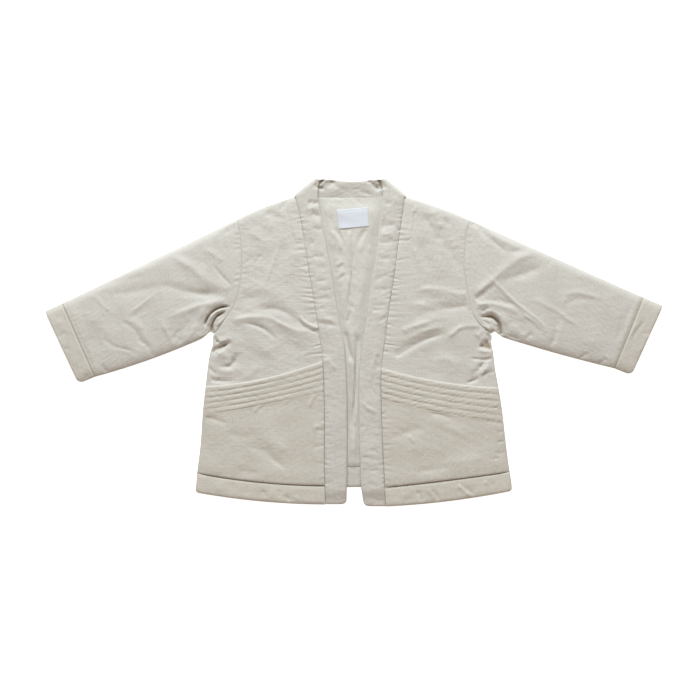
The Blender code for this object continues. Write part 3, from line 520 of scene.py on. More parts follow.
def makeWovenCloth():
    # plain weave with uneven threads, a fine crepe of small wrinkles and a faint mottle
    group = bpy.data.node_groups.new("wovenCloth", "ShaderNodeTree")
    for name, kind in (("Place", "Vector"), ("Threads", "Float"), ("Slub", "Float"), ("Crepe", "Float")):
        group.interface.new_socket(name, in_out="INPUT", socket_type="NodeSocket" + kind)
    for name in ("Shade", "Height"):
        group.interface.new_socket(name, in_out="OUTPUT", socket_type="NodeSocketFloat")
    given = addNode(group, "NodeGroupInput").outputs
    wander = addNode(group, "ShaderNodeTexNoise", {"Vector": given["Place"], **weaveLook["wander"]})
    reach = {0: wander.outputs["Color"], "Scale": weaveLook["wanderReach"]}
    drift = addNode(group, "ShaderNodeVectorMath", reach, operation="SCALE").outputs[0]
    place = addNode(group, "ShaderNodeVectorMath", {0: given["Place"], 1: drift}, operation="ADD").outputs[0]
    split = addNode(group, "ShaderNodeSeparateXYZ", {"Vector": place}).outputs
    rows = []
    for axis in ("X", "Y"):
        turn = addMath(group, "MULTIPLY", addMath(group, "MULTIPLY", split[axis], given["Threads"]), math.pi)
        rows.append(addMath(group, "SINE", turn))
    weave = addMath(group, "ABSOLUTE", addMath(group, "MULTIPLY", *rows))
    slubs = []
    for stretch in (weaveLook["slubStretch"], weaveLook["slubStretch"][::-1]):
        drawn = addNode(group, "ShaderNodeVectorMath", {0: place, 1: (*stretch, 1.0)}, operation="MULTIPLY")
        noise = {"Vector": drawn.outputs[0], "Scale": 1.0, "Detail": 2.0}
        slubs.append(addNode(group, "ShaderNodeTexNoise", noise).outputs["Fac"])
    slub = addMath(group, "MULTIPLY", addMath(group, "ADD", *slubs), given["Slub"])
    small = addNode(group, "ShaderNodeTexNoise", {"Vector": place, **weaveLook["crepe"]})
    crepe = addMath(group, "MULTIPLY", small.outputs["Fac"], given["Crepe"])
    mottle = addNode(group, "ShaderNodeTexNoise", {"Vector": place, **weaveLook["mottle"]}).outputs["Fac"]
    raised = addMath(group, "MULTIPLY", weave, weaveLook["weaveHeight"])
    height = addMath(group, "ADD", raised, addMath(group, "ADD", slub, crepe))
    shades = [addMath(group, "MULTIPLY", value, weaveLook["shades"][name])
              for name, value in (("weave", weave), ("slub", slub), ("mottle", mottle))]
    shade = addMath(group, "ADD", addMath(group, "ADD", *shades[:2]), shades[2])
    addNode(group, "NodeGroupOutput", {"Shade": shade, "Height": height})
    return group


def newMaterial(name):
    made = bpy.data.materials.new(name)
    made.use_nodes = True
    return made, made.node_tree, made.node_tree.nodes["Principled BSDF"]


def makeCloth(name, look, wovenCloth):
    made, tree, shader = newMaterial(name)
    place = addNode(tree, "ShaderNodeUVMap", uv_map="weave").outputs["UV"]
    thread = {"Place": place, "Threads": look["threads"], "Slub": look["slub"], "Crepe": look["crepe"]}
    cloth = addNode(tree, "ShaderNodeGroup", thread, node_tree=wovenCloth).outputs
    ramp = addNode(tree, "ShaderNodeValToRGB", {"Fac": cloth["Shade"]})
    for stop, position, colour in zip(ramp.color_ramp.elements, weaveLook["rampStops"], ("dark", "light")):
        stop.position = position
        stop.color = (*look[colour], 1)
    bump = addNode(tree, "ShaderNodeBump", {"Height": cloth["Height"], "Strength": weaveLook["bump"],
                                            "Distance": look["depth"]})
    # painted shade: a point attribute darkens the base colour in deep folds, along seams and quilting lines
    # and at the lining's lower end
    fold = addNode(tree, "ShaderNodeAttribute", attribute_name="fold").outputs["Fac"]
    shaded = addNode(tree, "ShaderNodeMix", {0: fold, 6: ramp.outputs["Color"], 7: (*foldLook["shade"], 1)},
                     data_type="RGBA", blend_type="MULTIPLY")
    setInputs(tree, shader, {"Base Color": shaded.outputs[2], "Normal": bump.outputs["Normal"],
                             "Roughness": look["roughness"], "Sheen Weight": look["sheen"],
                             "Specular IOR Level": weaveLook["specular"]})
    return made


def makeThread():
    # twisted sewing thread: fine slanting bands along each stitch
    made, tree, shader = newMaterial("thread")
    place = addNode(tree, "ShaderNodeTexCoord").outputs["Object"]
    twist = addNode(tree, "ShaderNodeTexWave", {"Vector": place, "Scale": threadLook["twist"],
                                                "Distortion": 1.0}, bands_direction="DIAGONAL").outputs["Fac"]
    ramp = addNode(tree, "ShaderNodeValToRGB", {"Fac": twist})
    for stop, colour in zip(ramp.color_ramp.elements, ("dark", "light")):
        stop.color = (*threadLook[colour], 1)
    bump = addNode(tree, "ShaderNodeBump", {"Height": twist, "Strength": threadLook["bump"],
                                            "Distance": threadLook["depth"]})
    setInputs(tree, shader, {"Base Color": ramp.outputs["Color"], "Normal": bump.outputs["Normal"],
                             "Roughness": threadLook["roughness"]})
    return made


wovenCloth = makeWovenCloth()
finishes = {name: makeCloth(name, look, wovenCloth) for name, look in finishLooks.items()}
finishes["thread"] = makeThread()
print("finishes made")


# The fronts.

frontShape = {
    "lift": 1.6,  # how far the padded chest stands off the back
    "liftReach": 42.0,
    "liftRows": (-20.0, 30.0),
    "underarmTurn": (26.0, 2.0),  # the side is a plain seam above and a fold below
    "deepest": -7.0,
    "floor": 3.0,  # how low a crease may go beside the body, and over the lining
    "liningFloor": 5.0,
    "liningReach": (92.0, 101.0),
    "bandGroove": 0.65,
    "sideGroove": 0.3,
    "creaseRows": (2.02, 1.9),  # no creases under the pocket
    "acrossCells": (125, mesh["pitch"]),  # a length and the width of a cell
    "chestCells": (150, mesh["chestPitch"]),
    "crumpled": (0, 32),
    "hiddenFrom": 2.1,
    "flat": (0.165, 0.355),
    "area": 0.0445,
}

leftFront = {
    "seed": 11,
    "creases": [
        # folds that run in from the underarm
        crease(-3.4, 2.0, [(-176, 6), (-171, 1), (-167, -1)], fadeIn=0),
        crease(-4.8, 3.1, [(-177, -10), (-168, -7.5), (-160, -3.5), (-149, 1)], fadeIn=0, fadeOut=0.6),
        crease(1.3, 3.4, [(-172, 0), (-162, 2), (-151, 7)], fadeOut=0.3),
        crease(-1.0, 1.5, [(-180, -10), (-175, -13), (-168, -16)], fadeIn=0),
        crease(1.4, 3, [(-178, -15), (-166, -14), (-157, -10)]),
        crease(-3.3, 3.2, [(-145, -6), (-147, -20), (-155, -30.5), (-170, -30)], fadeIn=0.5, fadeOut=0.4),
        crease(1.2, 4.5, [(-176, -20), (-164, -19), (-156, -14)]),
        crease(0.9, 5, [(-144, -4), (-146, -18), (-150, -32)]),
        crease(-1.1, 1.8, [(-181, -31), (-177, -36), (-170, -41)], fadeIn=0.1),
        crease(-1.6, 3.2, [(-179, -47), (-164, -50), (-145, -52)], fadeIn=0.1),
        crease(-0.7, 2, [(-172, -46), (-163, -50)]),
        crease(0.8, 5, [(-172, -36), (-150, -36), (-130, -30)]),
        crease(0.6, 6, [(-150, -50), (-130, -40), (-112, -22)]),
        # the fold over the chest, with a sharp end at the band
        crease(-1.5, 5, [(-126, 40), (-97, 41), (-76, 31), (-62, 18)]),
        crease(1.3, 4, [(-153, 28), (-129, 31), (-108, 31), (-91, 23), (-68, 14), (-42, 14)], lean=-0.35,
               fadeIn=0.1),
        crease(-1.2, 2.6, [(-145, 25), (-118, 19), (-104, 10), (-91, -2)]),
        crease(1.3, 2.0, [(-69, 36), (-62, 26), (-51, 20), (-40, 16)], lean=-0.4, fadeOut=0.1),
        crease(-1.1, 2.0, [(-73, 32), (-64, 21), (-52, 14), (-41, 10)], fadeOut=0.1),
        crease(0.8, 8, [(-140, 5), (-115, -6), (-90, -22)]),
        crease(-0.7, 7, [(-95, 2), (-75, -8), (-55, -12)]),
        crease(0.7, 9, [(-150, 62), (-120, 68), (-88, 58)]),
        crease(-0.7, 7, [(-146, 52), (-120, 55), (-98, 54)]),
        # soft drags over the upper chest
        crease(0.55, 2.2, [(-93, 126), (-97, 108), (-104, 89), (-112, 66)]),
        crease(-0.35, 3.5, [(-98, 124), (-102, 106), (-109, 87)]),
        crease(-0.8, 6, [(-112, 163), (-99, 158), (-88, 152)]),
        crease(0.45, 2.5, [(-107, 158), (-111, 139)]),
        crease(0.4, 2.5, [(-101, 156), (-104, 135)]),
        crease(-0.45, 1.8, [(-135, 98), (-126, 106)]),
        crease(-0.5, 1.8, [(-125, 97), (-112, 111)]),
        crease(-0.8, 2.6, [(-94, 163), (-80, 178)], fadeOut=0),
        crease(0.5, 7, [(-70, 118), (-76, 96), (-86, 74)]),
        crease(-0.45, 6, [(-84, 132), (-88, 108), (-94, 84)]),
        crease(0.5, 5, [(-134, 138), (-118, 130), (-106, 116)]),
        # the stitched facing beside the neck
        crease(-0.45, 1.1, [(-83, 165), (-81, 155), (-79, 144), (-73, 124)], fadeIn=0.1, fadeOut=0.05),
        crease(-0.45, 1.1, [(-73, 124), (-67, 123), (-60, 124)], fadeIn=0.05, fadeOut=0.1),
    ],
    "bandTicks": tickRow((154, 148, 139, 126, 115, 104, 95, 86, 80, 66, 60, 54, 48, 40, 35, 26, 23, 15, -4,
                          -14), 0.62, 11, 1.2, 21),
    "armTicks": scatteredTicks(40, 148, 6.5, 0.35, 6, 1.5, 22),
}

rightFront = {
    "seed": 47,
    "creases": [
        # the deep fold from the band up to the underarm
        crease(-2.0, 3.6, [(50, -20), (61, -12), (78, -3), (97, 5), (118, 11)], lean=0.25, fadeIn=0.12),
        crease(1.1, 4.5, [(58, -2), (76, 8), (96, 16), (120, 20)]),
        crease(1.1, 3, [(112, 1), (123, 10), (136, 19), (158, 20)], fadeOut=0.1),
        crease(-3.6, 3.0, [(156, -4), (165, -6), (176, -7)], fadeIn=0.25, fadeOut=0),
        crease(-3.0, 3.6, [(161, 3), (166, -1), (172, -6)], fadeIn=0.4, fadeOut=0),
        crease(0.9, 3.4, [(150, 4), (156, 10), (164, 15)]),
        crease(-3.4, 1.7, [(167, 12), (169, 7), (171, 0)], fadeIn=0.4, fadeOut=0.1),
        crease(1.0, 2.5, [(152, -8), (164, -12), (175, -12)], fadeOut=0.1),
        crease(-0.7, 1.5, [(151, 13), (154, 1), (157, -12)]),
        crease(-1.4, 1.8, [(144, -20), (158, -22), (167, -22), (177, -18)], fadeOut=0.05),
        crease(-1.9, 2.4, [(164, -23), (158, -32), (151, -40)]),
        crease(1.1, 2.6, [(169, -27), (163, -36), (156, -43)]),
        crease(-2.0, 2.1, [(157, -45), (148, -49), (139, -52)], fadeIn=0.2, fadeOut=0.2),
        crease(-1.0, 2, [(160, -44), (168, -38), (176, -38)], fadeOut=0.1),
        crease(0.9, 5, [(140, -32), (156, -34), (172, -36)], fadeOut=0.1),
        crease(0.8, 7, [(100, -18), (122, -24), (134, -38)]),
        # across the chest
        crease(0.9, 5, [(74, 63), (97, 67), (128, 61), (145, 59)], lean=-0.3, fadeOut=0.1),
        crease(-1.1, 5.5, [(70, 27), (101, 39), (145, 46)], fadeOut=0.1),
        crease(1.2, 4, [(59, 14), (89, 24), (106, 29)], lean=-0.3, fadeIn=0.1),
        crease(-0.6, 5, [(72, 52), (92, 55), (112, 50)]),
        crease(0.5, 3, [(66, 44), (82, 47), (96, 44)]),
        # drags that hang from the shoulder
        crease(-1.1, 5.5, [(84, 163), (93, 149), (103, 131), (114, 122)]),
        crease(0.8, 5, [(96, 168), (104, 152), (112, 138)]),
        crease(-0.7, 2.4, [(113, 156), (120, 142)]),
        crease(-0.9, 4, [(112, 129), (122, 110), (133, 90)]),
        crease(0.5, 5, [(122, 132), (130, 116)]),
        crease(-0.75, 5, [(83, 130), (89, 106), (98, 87)]),
        crease(0.6, 4, [(74, 124), (79, 104), (87, 84)]),
        crease(0.6, 1.8, [(78, 170), (76, 160)]),
        crease(0.5, 6, [(104, 112), (108, 96), (116, 80)]),
        crease(-0.45, 1.1, [(77, 164), (75, 146), (73, 131)], fadeIn=0.1, fadeOut=0.05),
        crease(-0.45, 1.1, [(73, 131), (68, 127), (61, 126)], fadeIn=0.05, fadeOut=0.1),
    ],
    "bandTicks": tickRow((140, 133, 126, 101, 89, 79, 74, 70, 65, 58, 50, 39, 31, 22, 8, -3, -12),
                         0.62, 11, 1.2, 23),
    "armTicks": scatteredTicks(40, 148, 7, 0.32, 6, 1.5, 24),
}

fronts = {"left": leftFront, "right": rightFront}
underarm, pocketTop, ribEnd, hemLine, hemEdge = range(1, 6)
frontLast = hemLine - mesh["seamRows"]["front"]
pocketLast = hemLine - mesh["seamRows"]["pocket"]
hemFirst = hemLine + mesh["seamRows"]["hem"]
waistShares = np.arange(1, mesh["waistRows"] + 1) / mesh["waistRows"]


def sideRoll(near, y, radius):
    return 1 - ease(*frontShape["underarmTurn"], y) * (1 - dome(near["side"], radius))


def frontLift(near, y):
    inland = 1.0
    for edge in ("side", "band", "start"):
        inland = inland * calm(near[edge], frontShape["liftReach"])
    return frontShape["lift"] * inland * ease(*frontShape["liftRows"], y)


def frontRelief(half, x, y, near):
    look = fronts[half["name"]]
    made = creased(x, y, look["creases"]) + crinkle(x, y, look["seed"])
    made += ticked(y, near["band"], look["bandTicks"]) + ticked(y, near["side"], look["armTicks"])
    inland = calm(np.minimum(near["side"], near["start"])) * ease(*frontShape["creaseRows"], near["row"])
    return np.maximum(made * inland, frontShape["deepest"])


def frontFace(half, row, share):
    x, y, near = frontEdges(half, row, share, 0, frontLast)
    edge = layers["sideSeam"] + layers["seamGap"] + layers["edgeWall"]
    height = layers["frontTop"] + frontLift(near, y) - groove(near["band"], frontShape["bandGroove"])
    sewnSide = groove(near["side"], frontShape["sideGroove"])
    height = height - sewnSide * ease(*frontShape["underarmTurn"][::-1], y)
    made = frontRelief(half, x, y, near)
    height = height + made
    # painted shade for the front's deep creases
    near["fold"] = foldShade(made)
    rolled = dome(near["start"], layers["foldRadius"]) * sideRoll(near, y, layers["softRadius"])
    lowest = mix(frontShape["liningFloor"], frontShape["floor"], ease(*frontShape["liningReach"], np.abs(x)))
    top = edge + (softFloor(height, lowest + layers["edgeWall"]) - edge) * rolled
    return x, y, top, near


def makeFront(half):
    def place(row, share, below):
        x, y, top, near = frontFace(half, row, share)
        edge = layers["sideSeam"] + layers["seamGap"]
        radius = layers["innerFoldRadius"]
        floor = layers["frontFloor"] + frontLift(near, y)
        bottom = edge + (floor - edge) * dome(near["start"], radius) * sideRoll(near, y, radius)
        bottom = np.minimum(bottom, top - layers["edgeWall"])
        return x, y, np.where(below, bottom, top), (x, y), np.where(below, 0.0, near["fold"])

    chest = spread(*frontShape["chestCells"], fineEnd=False)
    hidden = np.linspace(frontShape["hiddenFrom"], frontLast, mesh["hiddenRows"])
    rows = np.concatenate([chest, underarm + waistShares, hidden])
    columns = spread(*frontShape["acrossCells"], closer=frontShape["crumpled"])
    name = "front_" + half["name"]
    piece = laidPiece(name + "_cloth", columns, rows, place, "shell")
    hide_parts(name)


for half in halves:
    makeFront(half)
print("fronts laid")


# The pockets, with their quilted borders.

pocketShape = {
    "inset": 0.2,
    "ribs": 5,
    "swell": 0.33,
    "ribWidth": 7.4,
    "ribShade": 0.3,  # the thin painted shade along each line of quilting
    "dip": -0.34,
    "roundness": 0.75,
    "lumps": ((0.3, 9), (0.25, 21)),  # along a rib: how much, and how long
    "lane": 37,  # keeps the lumps of one rib unlike the next one's
    "pucker": 0.17,
    "puckerLength": 3.8,
    "puckerRun": (24, 30),
    "puckerEase": 0.45,
    "bulge": 0.75,  # the bag stands up over the hem's seam
    "bulgeReach": 9.0,
    "edgeDrop": 1.2,
    "edgeRound": 2.5,
    "endGroove": 0.6,
    "bandMargin": 2,
    "creaseRows": (-0.03, 0.06),  # creases start here, in levels below the ribs
    "acrossCells": (150, mesh["chestPitch"]),
    "bagCells": (100, mesh["pitch"]),
    "flat": (0.16, 0.155),
    "area": 0.0205,
}

leftPocket = {
    "seed": 71,
    "creases": [
        crease(0.9, 2, [(-115, -75), (-121, -83), (-123, -89)], fadeIn=0.1),
        crease(-0.7, 1.8, [(-112, -78), (-117, -87)], fadeIn=0.1),
        crease(0.7, 2, [(-79, -70), (-88, -79)], fadeIn=0.1),
        crease(0.8, 2, [(-48, -64), (-53, -76), (-57, -83)], fadeIn=0.1),
        crease(-0.5, 2, [(-45, -66), (-47, -78)], fadeIn=0.1),
        crease(-0.9, 3, [(-186, -94), (-172, -97), (-155, -103)], fadeIn=0.1),
        crease(-1.05, 5, [(-136, -130), (-112, -136), (-97, -149), (-77, -162)], lean=0.2),
        crease(0.7, 8, [(-124, -117), (-96, -127), (-70, -150)]),
        crease(-0.6, 6, [(-160, -112), (-138, -118), (-118, -112)]),
        crease(0.6, 9, [(-176, -140), (-150, -146), (-128, -156)]),
        crease(0.65, 2, [(-52, -107), (-37, -103)], fadeOut=0),
        crease(-0.6, 2, [(-48, -112), (-37, -110)], fadeOut=0),
        crease(-0.6, 2, [(-53, -132), (-38, -129)], fadeOut=0),
        crease(-0.7, 5, [(-150, -158), (-128, -163), (-108, -163)]),
    ],
    "bandTicks": tickRow((-69, -74, -88, -97, -104, -111, -118, -121, -130, -140, -152, -163, -171),
                         0.6, 8, 1.3, 31),
    "hemTicks": scatteredTicks(-186, -40, 9, 0.35, 5, 2.0, 32),
}

rightPocket = {
    "seed": 83,
    "creases": [
        crease(0.8, 1.8, [(68, -115), (72, -121), (78, -127)]),
        crease(0.7, 6, [(90, -91), (103, -98), (126, -109), (149, -120)]),
        crease(-0.9, 3.4, [(91, -88), (111, -91), (127, -97)]),
        crease(-0.9, 3, [(163, -98), (176, -99), (188, -101)], fadeOut=0.1),
        crease(-0.8, 5, [(42, -122), (72, -111), (98, -105)]),
        crease(0.6, 8, [(60, -136), (90, -132), (120, -138)]),
        crease(-0.6, 1.8, [(177, -114), (188, -111)], fadeOut=0),
        crease(-0.7, 1.8, [(177, -126), (190, -123)], fadeOut=0),
        crease(-0.6, 1.8, [(176, -139), (191, -138)], fadeOut=0),
        crease(-0.6, 1.8, [(168, -147), (184, -144)]),
        crease(-0.8, 5, [(70, -163), (96, -160), (128, -154)]),
        crease(0.7, 6, [(110, -150), (140, -148), (168, -142)]),
    ],
    "bandTicks": tickRow((-80, -90, -96, -100, -109, -118, -121, -130, -134, -146, -153, -161, -165,
                          -173), 0.65, 9, 1.3, 33),
    "hemTicks": scatteredTicks(40, 190, 9, 0.35, 5, 2.0, 34),
}

pockets = {"left": leftPocket, "right": rightPocket}


def ribTurn(row):
    # whole numbers are the lines of quilting
    return (row - pocketTop) / (ribEnd - pocketTop) * pocketShape["ribs"]


def ribHeight(row, x, seed):
    # the channels' swell, a little lumpy along each rib, with the stitching drawn in between them
    turn = ribTurn(row)
    lane = np.floor(turn) * pocketShape["lane"]
    lumps = 1
    for step, (share, length) in enumerate(pocketShape["lumps"]):
        lumps = lumps + share * waves(x, lane, length, seed + step)
    swell = np.abs(np.sin(math.pi * turn)) ** pocketShape["roundness"]
    made = mix(pocketShape["dip"], pocketShape["swell"] * lumps, swell)
    across, down = pocketShape["puckerRun"]
    pucker = waves(x + across * row, down * row, pocketShape["puckerLength"], seed + 2)
    made += pocketShape["pucker"] * pucker * (1 - pocketShape["puckerEase"] * swell)
    return np.where(row > ribEnd, 0.0, made)


def pocketFace(half, row, share):
    look = pockets[half["name"]]
    x, y, near = frontEdges(half, row, share, pocketTop, pocketLast, pocketShape["inset"])
    frontEdge = layers["sideSeam"] + layers["seamGap"] + layers["edgeWall"]
    front = layers["frontTop"] - groove(near["band"])
    bottom = frontEdge + (front - frontEdge) * sideRoll(near, y, layers["softRadius"]) + layers["pocketGap"]
    edge = frontEdge + layers["edgeWall"] + layers["seamGap"] + layers["pocketGap"]
    ends = np.minimum(near["end"], np.minimum(near["side"], near["band"] + pocketShape["bandMargin"]))
    relief = creased(x, y, look["creases"]) + crinkle(x, y, look["seed"])
    relief += ticked(y, near["band"], look["bandTicks"]) + ticked(x, near["end"], look["hemTicks"])
    first, full = pocketShape["creaseRows"]
    relief *= calm(ends) * ease(ribEnd + first, ribEnd + full, row)
    height = layers["frontTop"] + layers["pocketGap"] + layers["pocketWall"]
    height = height + ribHeight(row, x, look["seed"])
    bulge, reach = pocketShape["bulge"], pocketShape["bulgeReach"]
    height += bulge * ease(3 * reach, reach, near["end"])
    height -= bulge * (1 - dome(near["end"], reach))
    height = edge + (height + relief - edge) * sideRoll(near, y, layers["softRadius"])
    height = height - pocketShape["edgeDrop"] * (1 - dome(near["start"], pocketShape["edgeRound"]))
    height = height - groove(near["end"], pocketShape["endGroove"]) - groove(near["band"])
    return x, y, np.maximum(height, bottom + layers["edgeWall"]), bottom


def ribShade(row):
    # painted shade along the lines of quilting
    turn = ribTurn(row)
    line = np.clip(np.rint(turn), 1, pocketShape["ribs"])
    return seamShade((turn - line) * pocketShape["ribWidth"], pocketShape["ribShade"])


def makePocket(half):
    def place(row, share, below):
        x, y, top, bottom = pocketFace(half, row, share)
        return x, y, np.where(below, bottom, top), (x, y), np.where(below, 0.0, ribShade(row))

    border = np.linspace(pocketTop, ribEnd, mesh["rowsPerRib"] * pocketShape["ribs"] + 1)
    bag = ribEnd + spread(*pocketShape["bagCells"])[1:] * (pocketLast - ribEnd)
    rows = np.concatenate([border, bag])
    name = "pocket_" + half["name"]
    piece = laidPiece(name + "_cloth", spread(*pocketShape["acrossCells"]), rows, place, "pocket")
    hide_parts(name)


for half in halves:
    makePocket(half)
print("pockets laid")


# The hems.

hemShape = {
    "edgeRound": 5.0,
    "seamSwell": (0.9, 8.0),
    "underRound": 3.0,
    "underRise": 1.4,
    "edgeShare": 0.62,
    "corner": 4.0,
    "droop": 2.6,  # the fronts hang past the back's hem and settle towards the floor
    "droopFrom": -183.2,
    "droopTo": -199.2,
    "topDroop": (0.6, -176.0, -204.0),
    "startGroove": 0.45,
    "crinkle": 0.8,
    "seed": 90,
    "deepest": 1.4,
    "leastCrease": 0.2,
    "acrossCells": (155, mesh["pitch"]),
    "downCells": (24, 1.4),
    "flat": (0.165, 0.026),
}

hemCreases = {
    "left": [
        crease(-0.7, 2, [(-113, -184), (-109, -195)]),
        crease(-1.0, 3, [(-88, -190), (-78, -199)]),
        crease(0.6, 2, [(-73, -191), (-68, -198)]),
        crease(-0.5, 3, [(-133, -178), (-134, -192)]),
        crease(0.5, 3.5, [(-103, -182), (-101, -196)]),
        crease(-0.4, 3, [(-92, -183), (-93, -195)]),
        crease(0.4, 5, [(-170, -174), (-166, -188)]),
        crease(-0.4, 4, [(-152, -172), (-150, -190)]),
    ],
    "right": [
        crease(-1.0, 2, [(78, -184), (84, -194), (83, -202)]),
        crease(-1.2, 2.2, [(96, -183), (103, -191), (107, -200)]),
        crease(0.8, 2.4, [(91, -182), (98, -190), (102, -198)]),
        crease(1.1, 2.2, [(128, -177), (139, -186), (148, -194)]),
        crease(-0.9, 2.2, [(132, -176), (143, -185), (152, -193)]),
        crease(0.6, 2, [(162, -173), (171, -180)]),
        crease(-0.5, 3, [(166, -173), (176, -182)]),
        crease(0.5, 4, [(62, -186), (66, -198)]),
    ],
}


def droop(y):
    return hemShape["droop"] * ease(hemShape["droopFrom"], hemShape["droopTo"], y)


def hemFrontFace(half, row, share):
    x, y, near = frontEdges(half, row, share, hemFirst, hemEdge)
    y = y + hemShape["corner"] * (row - hemLine) ** 3 * (1 - dome(near["side"], hemShape["corner"]))
    edge = layers["sideSeam"] + layers["seamGap"] + layers["edgeWall"]
    floor = layers["frontFloor"] - droop(y)
    sunk, sunkFrom, sunkTo = hemShape["topDroop"]
    top = layers["frontFloor"] + layers["hemWall"] - sunk * ease(sunkFrom, sunkTo, y)
    swell, reach = hemShape["seamSwell"]
    top = top + swell * (dome(near["start"], reach) - 1)
    low = mix(edge, mix(floor, top, hemShape["edgeShare"]), dome(near["side"], layers["foldRadius"]))
    uneven = hemShape["crinkle"] * crinkle(x, y, hemShape["seed"] + half["sign"])
    relief = creased(x, y, hemCreases[half["name"]]) + uneven
    relief = np.clip(relief, -hemShape["deepest"], hemShape["deepest"])
    relief = relief * np.maximum(calm(near["start"], layers["hemCalmReach"]), hemShape["leastCrease"])
    rolled = dome(near["end"], hemShape["edgeRound"]) * dome(near["side"], layers["foldRadius"])
    sewn = top - groove(near["start"], hemShape["startGroove"]) - groove(near["band"])
    face = low + (sewn + relief - low) * rolled
    edge = edge - layers["edgeWall"]
    side = edge + (floor - edge) * dome(near["side"], layers["innerFoldRadius"])
    rise = np.minimum(edge, floor + hemShape["underRise"])
    under = mix(rise, side, dome(near["end"], hemShape["underRound"]))
    return x, y, face, np.minimum(under, face - layers["edgeWall"])


def makeHemFront(half):
    def place(row, share, below):
        x, y, top, bottom = hemFrontFace(half, row, share)
        return x, y, np.where(below, bottom, top), (x, y)

    rows = mix(hemFirst, hemEdge, spread(*hemShape["downCells"]))
    name = "hem_front_" + half["name"]
    piece = laidPiece(name + "_cloth", spread(*hemShape["acrossCells"]), rows, place, "hem")
    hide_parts(name)


for half in halves:
    makeHemFront(half)
print("hems laid")


# The back and its hem.

backShape = {
    "hemLine": {"left": -162, "centre": -157, "right": -161},
    "hemEnd": {"left": -186.6, "centre": -181.2, "right": -184.6},
    "hemSwell": 0.9,
    "hemSwellReach": 20.0,
    "hemRound": 4.0,
    "hemEdgeHeights": (1.2, 1.8),
    "hemGroove": 0.4,
    "hemCrinkle": 0.5,
    "hemCrinkleReach": (20, 60),
    "hemSeed": 67,
    "hemCells": (25, 1.8),
    "seed": 61,
    "dent": 0.7,  # how far creases lift the underside off the floor
    "dentRange": (4, 0.3, 1.2),
    "lastRow": 2 - mesh["seamRows"]["front"],
    "hemRow": 2 + mesh["seamRows"]["hem"],
    "waistSpan": 0.998,
    "acrossCells": (340, 3.2),
    "chestCells": (150, 3.2),
    "flat": (0.39, 0.345),
    "area": 0.108,
    "hemFlat": (0.395, 0.026),
}

neckEdge = [(x, y - neck["clearance"]) for x, y in neck["seam"]]
cornersBehind = [(-73.4, 181.2)], [(64.4, 181.2)]
backTop = [*neck["shoulders"][:3], *cornersBehind[0], *neckEdge, *cornersBehind[1], *neck["shoulders"][3:]]
shoulderSpan = (neck["shoulders"][0][0], neck["shoulders"][-1][0])


def placeOnBack(row, share):
    # row 0 is the shoulders and neck, 1 the underarms, 2 the hem line and 3 its edge
    ends = []
    for half in halves:
        name = half["name"]
        heights = [half["levels"]["shoulder"][0], half["levels"]["underarm"][0]]
        heights += [backShape["hemLine"][name], backShape["hemEnd"][name]]
        y = np.interp(row, range(4), heights)
        ends.append((half["outerLine"](y), y))
    x, y = mix(ends[0][0], ends[1][0], share), mix(ends[0][1], ends[1][1], share)
    rise = straightLine(backTop)(mix(*shoulderSpan, share)) - neck["shoulders"][0][1]
    drops = [backShape[key]["centre"] - (backShape[key]["left"] + backShape[key]["right"]) / 2
             for key in ("hemLine", "hemEnd")]
    y = y + rise * np.clip(1 - row, 0, None)
    return x, y + 4 * share * (1 - share) * np.interp(row, range(4), [0, 0, *drops])


def backEdges(row, share, first, last):
    x, y = placeOnBack(row, share)
    ends = placeOnBack(row, np.zeros_like(row)), placeOnBack(row, np.ones_like(row))
    width = np.hypot(ends[1][0] - ends[0][0], ends[1][1] - ends[0][1])
    near = {"side": np.minimum(share, 1 - share) * width}
    for name, level in (("start", first), ("end", last)):
        atX, atY = placeOnBack(np.full_like(row, level), share)
        near[name] = np.hypot(x - atX, y - atY)
    at = mix(*shoulderSpan, share)
    near["shoulder"] = (at < neck["seam"][0][0] - 1) | (at > neck["seam"][-1][0] + 1)
    return x, y, near


def backRoll(near, y, radius):
    return np.where(near["shoulder"], dome(near["start"], radius), 1.0) * sideRoll(near, y, radius)


def dents(x, y, seed):
    # creases on a side that lies on the floor are troughs only
    gain, start, most = backShape["dentRange"]
    return backShape["dent"] * np.clip(gain * crinkle(x, y, seed) - start, 0, most)


def backColumns():
    corners = [(x - shoulderSpan[0]) / (shoulderSpan[1] - shoulderSpan[0]) for x, _ in backTop]
    return np.unique(np.concatenate([spread(*backShape["acrossCells"]), corners]))


def makeBack():
    def place(row, share, below):
        x, y, near = backEdges(row, share, 0, backShape["lastRow"])
        edge = layers["sideSeam"] - layers["seamGap"]
        top = edge + (layers["backWall"] - edge) * backRoll(near, y, layers["innerFoldRadius"])
        bottom = (edge - layers["edgeWall"]) * (1 - backRoll(near, y, layers["foldRadius"]))
        bottom = np.minimum(bottom + dents(x, y, backShape["seed"]), top - layers["edgeWall"])
        return x, y, np.where(below, bottom, top), (x, y)

    chest = spread(*backShape["chestCells"], fineEnd=False)
    rows = np.concatenate([chest, 1 + waistShares * backShape["waistSpan"]])
    piece = laidPiece("back_panel_cloth", backColumns(), rows, place, "shell")
    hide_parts("back_panel")


